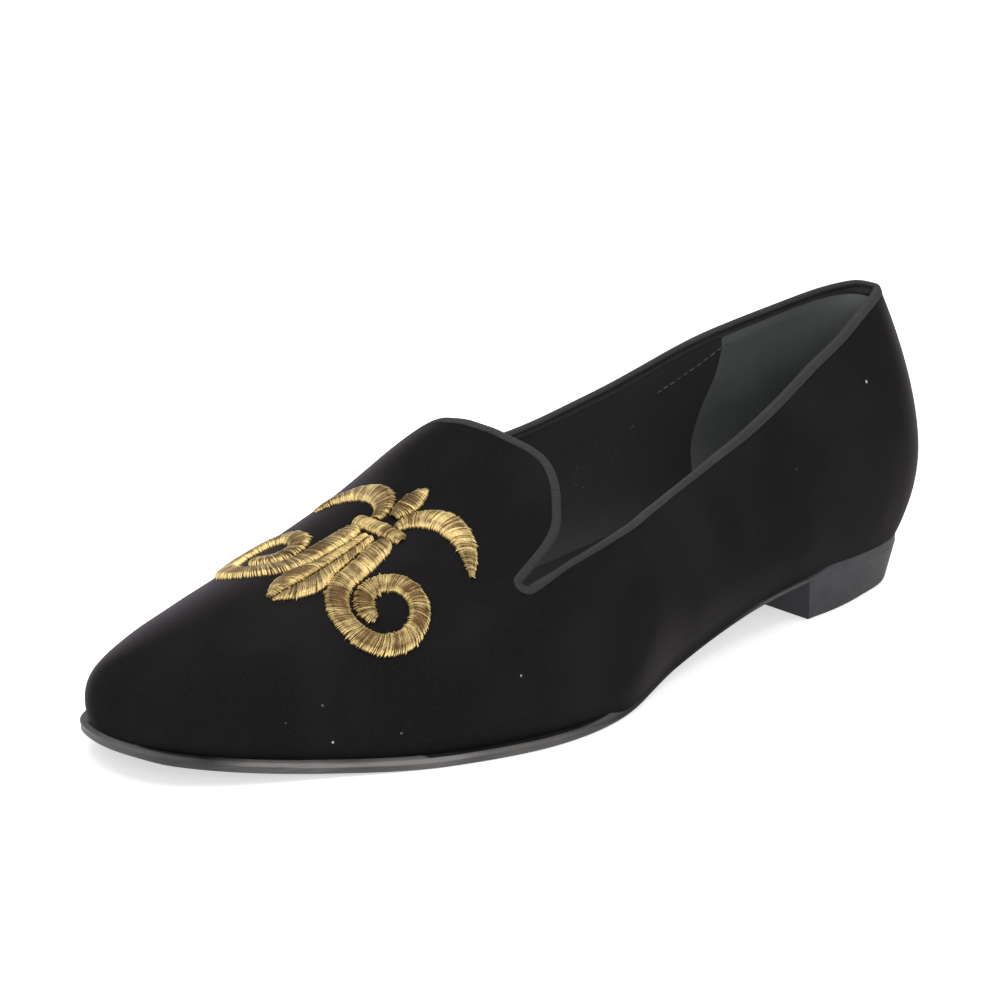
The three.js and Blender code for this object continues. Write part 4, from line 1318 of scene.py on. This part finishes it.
def tape_material(colours):
    """Ribbed tape: ribs are in the mesh, the nodes add its yarn, painted shade in the troughs and painted
    light on the crests, a little wear in patches, and painted light on the leg inside the shoe."""
    m = Maker("grosgrain_tape")
    crest = m.attribute("crest")
    yarn = m.noise(2600, 2.0, 0.6)
    # Painted shade in the troughs between the ribs, painted light on their crests.
    base = m.mix(m.spread(crest, 0.2, 1.0, 0, 1), rgba(colours.tape, 0.45), rgba(colours.tape, 1.35))
    worn = m.mix(m.spread(m.noise(60, 3.0), 0.5, 0.8, 0, 0.6), base, rgba(colours.tape, 1.8))
    # Painted light: the leg inside the shoe lies in shade and is given a paler purple-grey, darker in the
    # troughs.
    painted_inner_light = m.mix(m.spread(crest, 0.2, 1.0, 0, 1), rgba(colours.velvet_sheen, 0.07),
                  rgba(colours.velvet_sheen, 0.11))
    worn = m.mix(m.attribute("inner"), worn, painted_inner_light)
    m.set(Base_Color=worn, Roughness=m.spread(yarn, 0.3, 0.7, 0.55, 0.8), Specular_IOR_Level=0.25,
          Sheen_Weight=0.08, Sheen_Roughness=0.4, Sheen_Tint=(0.8, 0.76, 0.82, 1))
    m.bump(yarn, 0.35, 0.08)
    return m.material


def gold_material(colours):
    """Metallised thread: each thread has its own tone, broad clouds of painted sheen run over many
    threads, painted highlights make the ends at the band's edges the brightest, and fine painted glints
    lie on all of them."""
    m = Maker("gold_thread")
    # Broad clouds of painted sheen; the same noise sets the roughness.
    cloud = m.noise(140, 2.0, 0.5)
    # Painted highlight at the band's edges.
    edge = m.spread(m.attribute("edge"), 0.45, 1.0, 0, 0.42)
    mixed = m.sum(m.sum(m.attribute("shade"), 0.45, "MULTIPLY"), m.sum(cloud, 0.9, "MULTIPLY"))
    # Fine painted glints.
    mixed = m.sum(m.sum(mixed, edge), m.sum(m.noise(2400, 2.0), 0.30, "MULTIPLY"))
    colour = m.mix(m.spread(mixed, 0.64, 1.30, 0, 1), rgba(colours.gold_dark), rgba(colours.gold))
    m.set(Base_Color=colour, Metallic=0.8, Roughness=m.spread(cloud, 0.3, 0.7, 0.36, 0.48))
    m.bump(m.noise(5200, 1.0), 0.4, 0.05)
    return m.material


def lining_material(colours):
    """Fine black lining with a short soft surface, and pale rubbed flecks on the inner wall."""
    m = Maker("lining")
    marks = m.noise(70, 6.0, 0.7, (0.6, 1.0, 2.2))
    colour = m.mix(m.spread(marks, 0.62, 0.78, 0, 0.6), rgba(colours.lining), rgba(colours.lining, 1.8))
    flecks = m.spread(m.noise(620, 3.0, 0.7, (1.0, 1.0, 1.5)), 0.62, 0.72, 0, 1)
    for share, height, radius in RUBBED:
        station = station_at(share)
        place = last_point(station, level_at_height(station, height), -1)
        worn = m.sum(m.near(place, radius), flecks, "MULTIPLY")
        colour = m.mix(worn, colour, rgba(colours.lining, 5.0))
    m.set(Base_Color=colour, Roughness=m.spread(marks, 0.3, 0.8, 0.7, 0.5), Specular_IOR_Level=0.3,
          Sheen_Weight=0.08, Sheen_Roughness=0.5)
    m.bump(m.noise(1400, 3.0), 0.3, 0.12)
    return m.material


def seam_material(colours):
    """Waxed thread of the lining's seam, rubbed pale."""
    m = Maker("seam_thread")
    worn = m.noise(240, 3.0)
    base = m.mix(m.spread(worn, 0.3, 0.6, 0, 1), rgba(colours.lining, 1.2), rgba(colours.lining, 4.2))
    m.set(Base_Color=base, Roughness=0.6)
    m.bump(m.noise(3000, 2.0), 0.3, 0.05)
    return m.material


def patch_material(colours):
    """Smooth dark leather with a green cast, a fine grain, and painted light that makes it paler toward
    the top, where light falls inside the back."""
    m = Maker("heel_patch_leather")
    cloud = m.noise(45, 4.0, 0.55)
    base = m.mix(m.spread(cloud, 0.35, 0.7, 0, 1), rgba(colours.heel_patch, 0.95),
                 rgba(colours.heel_patch, 1.2))
    # Painted light: the mix toward the paler colour grows with the height, broken by clouds.
    worn = m.sum(m.attribute("up"), m.sum(cloud, 0.35, "MULTIPLY"))
    base = m.mix(m.spread(worn, 0.55, 1.2, 0, 1), base, rgba(colours.heel_patch, 1.9))
    m.set(Base_Color=base, Roughness=m.spread(cloud, 0.3, 0.7, 0.52, 0.4), Specular_IOR_Level=0.45)
    m.bump(m.noise(1100, 3.0, 0.6), 0.3, 0.1)
    return m.material


def insole_material(colours):
    """Smooth leather under the foot, polished where heel and ball have pressed it."""
    m = Maker("insole_leather")
    cloud = m.noise(30, 4.0, 0.6)
    base = m.mix(m.spread(cloud, 0.35, 0.7, 0, 1), rgba(colours.insole, 0.8), rgba(colours.insole, 1.5))
    m.set(Base_Color=base, Roughness=m.spread(cloud, 0.3, 0.7, 0.6, 0.4), Specular_IOR_Level=0.45)
    m.bump(m.noise(900, 4.0, 0.6), 0.35, 0.12)
    return m.material


def sole_edge_material(colours):
    """Waxed leather edge: fine lines run along it, and its tone carries painted light, a highlight on the
    lip and shade at the waist and toe.
    """
    m = Maker("sole_edge")
    lines = m.noise(400, 3.0, 0.6, (0.12, 0.12, 4.0))
    worn = m.noise(90, 4.0)
    # The tone attribute is painted light and shade: a painted highlight on the lip, painted shade at the
    # waist and toe.
    tone = m.sum(m.attribute("tone"), m.spread(lines, 0.3, 0.7, 0.7, 1.3), "MULTIPLY")
    tone = m.sum(tone, m.spread(worn, 0.3, 0.7, 0.8, 1.2), "MULTIPLY")
    m.set(Base_Color=m.mix(tone, (0, 0, 0, 1), rgba(colours.sole_edge)),
          Roughness=m.spread(worn, 0.35, 0.7, 0.42, 0.56), Specular_IOR_Level=0.3)
    m.bump(lines, 0.3, 0.06)
    return m.material


def sole_tread_material(colours):
    """Dark leather sole, matt, scuffed along the way of walking."""
    m = Maker("sole_tread")
    scuff = m.noise(140, 5.0, 0.65, (0.35, 1.0, 1.0))
    base = m.mix(m.spread(scuff, 0.45, 0.7, 0, 1), rgba(colours.sole_tread, 0.7),
                 rgba(colours.sole_tread, 1.8))
    m.set(Base_Color=base, Roughness=m.spread(scuff, 0.3, 0.7, 0.5, 0.75))
    m.bump(m.sum(scuff, m.noise(900, 3.0)), 0.3, 0.1)
    return m.material


def heel_material(colours):
    """Black lacquer worn half dull over the block, a little uneven, with painted shade where seen edge on.
    """
    m = Maker("heel_lacquer")
    wave = m.noise(28, 2.0, 0.4)
    fine = m.noise(700, 3.0, 0.6)
    base = m.mix(m.spread(m.noise(60, 2.0), 0.35, 0.75, 0, 1), rgba(colours.heel), rgba(colours.heel, 1.5))
    # Painted shade: darker where the block is seen edge on.
    painted_light_edge_on = m.nodes.new("ShaderNodeLayerWeight").outputs["Facing"]
    base = m.mix(m.spread(painted_light_edge_on, 0.45, 0.9, 0, 1), base, rgba(colours.heel, 0.3))
    m.set(Base_Color=base, Roughness=m.spread(fine, 0.3, 0.7, 0.47, 0.54), Specular_IOR_Level=0.12)
    m.bump(m.sum(wave, m.sum(fine, 0.006, "MULTIPLY")), 0.25, 1.0)
    return m.material


def floor_material():
    """Matt white paper with a trace of tooth."""
    m = Maker("studio_paper")
    tone = m.mix(m.spread(m.noise(3, 2.0), 0.3, 0.7, 0, 1), (0.74, 0.74, 0.74, 1), (0.78, 0.78, 0.78, 1))
    m.set(Base_Color=tone, Roughness=0.9, Specular_IOR_Level=0.1, Emission_Color=(1, 1, 1, 1),
          Emission_Strength=0.55)
    return m.material


# ---- Studio ----

FLOOR_HALF = 6.0
LIGHTS_LOOK_AT = (0.0, 0.0, 0.03)

# Soft boxes, in metres and watts: name, place, size, power
SOFTBOXES = (
    ("softbox_top", (0.0, -0.1, 1.7), 2.2, 30),
    ("softbox_front", (1.1, 1.35, 0.75), 0.7, 9),
)


def look_at(place, target):
    """Matrix of something at place whose -z looks at target, with its x level."""
    back = (place - target) / np.linalg.norm(place - target)
    right = np.cross([0, 0, 1], back)
    right /= np.linalg.norm(right)
    up = np.cross(back, right)
    rows = np.eye(4)
    rows[:3, 0], rows[:3, 1], rows[:3, 2], rows[:3, 3] = right, up, back, place
    return Matrix(rows.tolist())


def place_camera(scene):
    """Camera turned and raised round its target, then rolled."""
    turn, rise, roll = (math.radians(a) for a in (CAMERA_AZIMUTH, CAMERA_ELEVATION, CAMERA_ROLL))
    back = np.array([math.sin(turn) * math.cos(rise), -math.cos(turn) * math.cos(rise), math.sin(rise)])
    right = np.array([math.cos(turn), math.sin(turn), 0])
    up = np.cross(back, right)
    rows = np.eye(4)
    rows[:3, 0] = math.cos(roll) * right + math.sin(roll) * up
    rows[:3, 1] = math.cos(roll) * up - math.sin(roll) * right
    rows[:3, 2] = back
    rows[:3, 3] = (np.array(CAMERA_TARGET) + back * CAMERA_DISTANCE) * MM
    data = bpy.data.cameras.new("camera")
    data.sensor_width = SENSOR
    data.lens = CAMERA_FOCAL * SENSOR
    data.clip_start = 0.05
    camera = bpy.data.objects.new("camera", data)
    camera.matrix_world = Matrix(rows.tolist())
    scene.collection.objects.link(camera)
    scene.camera = camera


# ---- Operators ----

class SLIPPER_OT_velvet_upper(bpy.types.Operator):
    """Velvet shell of the upper, tucked in behind the sole's lip"""

    bl_idname = "slipper.velvet_upper"
    bl_label = "Velvet upper"

    def execute(self, context):
        scene = context.scene
        points, faces = wall_shell(1.0, 0.0, VELVET_SHARE, velvet_relief, TUCK_DEPTH)
        material = velvet_material(scene.slipper_colours, scene.slipper_sizes)
        add_piece("velvet_upper", points, faces, [material], ["upper"], sharp=60)
        return {"FINISHED"}


class SLIPPER_OT_lining(bpy.types.Operator):
    """Cloth lining inside the velvet, and the leather patch inside the back"""

    bl_idname = "slipper.lining"
    bl_label = "Lining and heel patch"

    def execute(self, context):
        colours = context.scene.slipper_colours
        points, faces = wall_shell(LINING_FINENESS, VELVET_SHARE + 0.03, 1.0)
        add_piece("lining", points, faces, [lining_material(colours)], sharp=60)
        points, faces, up = heel_patch()
        add_piece("heel_patch", points, faces, [patch_material(colours)],
                  values={"up": up}, sharp=60)
        points, faces = lining_seam()
        add_piece("lining_seam", points, faces, [seam_material(colours)])
        return {"FINISHED"}


class SLIPPER_OT_topline_binding(bpy.types.Operator):
    """Ribbed tape folded over the edge of the opening"""

    bl_idname = "slipper.topline_binding"
    bl_label = "Topline binding"

    def execute(self, context):
        scene = context.scene
        points, faces, values = binding_surface(scene.slipper_sizes)
        add_piece("topline_tape", points, faces, [tape_material(scene.slipper_colours)],
                  ["topline_binding"], values=values)
        return {"FINISHED"}


class SLIPPER_OT_embroidery(bpy.types.Operator):
    """Gold satin stitches over padding, stroke by stroke"""

    bl_idname = "slipper.embroidery"
    bl_label = "Gold embroidery"

    def execute(self, context):
        scene = context.scene
        material = gold_material(scene.slipper_colours)
        for number, (name, slant) in enumerate(STROKES.items()):
            random = np.random.default_rng(40 + number)
            points, faces, values = stitched_stroke(name, slant, scene.slipper_sizes, random)
            add_piece(name.replace("embroidery", "gold"), points, faces, [material], [name],
                      values=values)
        return {"FINISHED"}


class SLIPPER_OT_insole(bpy.types.Operator):
    """Sock lining, slightly dished under heel and ball"""

    bl_idname = "slipper.insole"
    bl_label = "Insole"

    def execute(self, context):
        inset = WALL * STEEPEST_FOOT * 0.72 - 0.3

        def dish(share, u):
            """Lift of the top across the foot, a parabola less hills of Gauss under heel and ball."""
            under_heel = 0.5 * np.exp(-((share - 0.12) / 0.09) ** 2)
            under_ball = 0.45 * np.exp(-((share - 0.66) / 0.12) ** 2)
            return (0.35 - under_heel - under_ball) * (1 - u ** 2)

        def level(extra, lift):
            """One ring of the edge: further in by extra, lifted off the sole's top."""
            return (lambda share: -inset - extra + 0 * share,
                    lambda share: sole_top(share) + SEAM_GAP + lift)
        levels = [level(0.22, INSOLE_THICK), level(0.08, INSOLE_THICK - 0.03),
                  level(0.0, INSOLE_THICK - 0.15), level(0.0, INSOLE_THICK - 0.7), level(0.0, 0.0)]
        points, faces, _ = slab(np.linspace(0, 1, SOLE_STEPS + 1), levels, LID_STEPS * 2, dish)
        material = insole_material(context.scene.slipper_colours)
        add_piece("sock_lining", points, faces, [material], ["insole"], sharp=60)
        return {"FINISHED"}


class SLIPPER_OT_outsole(bpy.types.Operator):
    """Thin sole with a rounded lip over a band set in"""

    bl_idname = "slipper.outsole"
    bl_label = "Outsole"

    def execute(self, context):
        colours = context.scene.slipper_colours
        levels = sole_levels()
        points, faces, zone = slab(np.linspace(0, 1, SOLE_STEPS + 1), levels, LID_STEPS)
        # Painted light and shade of the edge, kept on its points.
        tone = painted_edge_light(points)
        points = heel_shaped(points, SEAT_BACK)
        bottom = (zone >= len(levels) - 1) & (zone < len(levels) + LID_STEPS - 1)
        face_share = share_at(np.arange(len(zone)) // (zone.max() + 1) / SOLE_STEPS)
        seat = ~bottom & (face_share * LENGTH < HEEL_LENGTH + HEEL_RAKE)
        materials = [sole_edge_material(colours), sole_tread_material(colours), heel_material(colours)]
        add_piece("sole", points, faces, materials, ["outsole"], bottom + 2 * seat,
                  values={"tone": tone}, sharp=50)
        return {"FINISHED"}


class SLIPPER_OT_heel(bpy.types.Operator):
    """Low lacquered heel block with a flat breast"""

    bl_idname = "slipper.heel"
    bl_label = "Heel"

    def execute(self, context):
        def level(rise, taper):
            """One ring of the block: its inset, and its share of the height up to the sole."""
            inset = SOLE_STEP + HEEL_TAPER * taper - WAIST_MARGIN
            return (lambda share: -inset + 0 * share,
                    lambda share: (tread_height(share) + 0.25) * rise)

        def breast(height):
            """Place of the front face, further forward with the height."""
            return HEEL_LENGTH + HEEL_RAKE * (height / HEEL_HEIGHT)
        stations = np.linspace(0, float(station_at(HEEL_LENGTH / LENGTH)), HEEL_STEPS + 1)
        levels = [level(rise, taper) for rise, taper in HEEL_LEVELS]
        points, faces, _ = slab(stations, levels, LID_STEPS, flat_end=breast)
        points = heel_shaped(points, HEEL_BACK)
        material = heel_material(context.scene.slipper_colours)
        heel = add_piece("heel_block", points, faces, [material], ["heel"], sharp=40)
        bevel = heel.modifiers.new("edges", "BEVEL")
        bevel.width = HEEL_BEVEL * MM
        bevel.segments = 2
        bevel.limit_method = "ANGLE"
        bevel.angle_limit = math.radians(50)
        return {"FINISHED"}


class SLIPPER_OT_studio(bpy.types.Operator):
    """White floor, soft lights and the photograph's camera"""

    bl_idname = "slipper.studio"
    bl_label = "Studio"

    def execute(self, context):
        scene = context.scene
        corners = [(x * FLOOR_HALF, y * FLOOR_HALF, 0) for x, y in ((-1, -1), (1, -1), (1, 1), (-1, 1))]
        mesh = bpy.data.meshes.new("floor")
        mesh.from_pydata(corners, [], [(0, 1, 2, 3)])
        mesh.materials.append(floor_material())
        floor = bpy.data.objects.new("floor", mesh)
        scene.collection.objects.link(floor)
        world = bpy.data.worlds.new("studio")
        scene.world = world
        world.use_nodes = True
        background = world.node_tree.nodes["Background"]
        background.inputs["Color"].default_value = (1, 1, 1, 1)
        background.inputs["Strength"].default_value = 0.7
        scene.view_settings.view_transform = "Standard"
        for name, place, size, power in SOFTBOXES:
            light = bpy.data.lights.new(name, "AREA")
            light.energy = power
            light.size = size
            lamp = bpy.data.objects.new(name, light)
            lamp.matrix_world = look_at(np.array(place), np.array(LIGHTS_LOOK_AT))
            scene.collection.objects.link(lamp)
        place_camera(scene)
        return {"FINISHED"}


OPERATORS = (
    SLIPPER_OT_velvet_upper,
    SLIPPER_OT_lining,
    SLIPPER_OT_topline_binding,
    SLIPPER_OT_embroidery,
    SLIPPER_OT_insole,
    SLIPPER_OT_outsole,
    SLIPPER_OT_heel,
    SLIPPER_OT_studio,
)


class SLIPPER_PT_panel(bpy.types.Panel):
    """Lists the slipper's pieces and sizes in the sidebar"""

    bl_idname = "SLIPPER_PT_panel"
    bl_label = "Slipper"
    bl_space_type = "VIEW_3D"
    bl_region_type = "UI"
    bl_category = "Slipper"

    def draw(self, context):
        layout = self.layout
        for operator in OPERATORS:
            layout.operator(operator.bl_idname)
        for group in (context.scene.slipper_sizes, context.scene.slipper_colours):
            box = layout.box()
            for key in group.__annotations__:
                box.prop(group, key)


CLASSES = (SlipperSizes, SlipperColours) + OPERATORS + (SLIPPER_PT_panel,)


def register():
    """Registers the classes and the scene's properties."""
    for kind in CLASSES:
        bpy.utils.register_class(kind)
    bpy.types.Scene.slipper_sizes = bpy.props.PointerProperty(type=SlipperSizes)
    bpy.types.Scene.slipper_colours = bpy.props.PointerProperty(type=SlipperColours)


def unregister():
    """Takes the properties and classes away again."""
    del bpy.types.Scene.slipper_colours
    del bpy.types.Scene.slipper_sizes
    for kind in reversed(CLASSES):
        bpy.utils.unregister_class(kind)


def main():
    """Builds every piece and the stage."""
    register()
    find_shift()
    for operator in OPERATORS:
        group, name = operator.bl_idname.split(".")
        getattr(getattr(bpy.ops, group), name)()


if __name__ == "__main__":
    main()
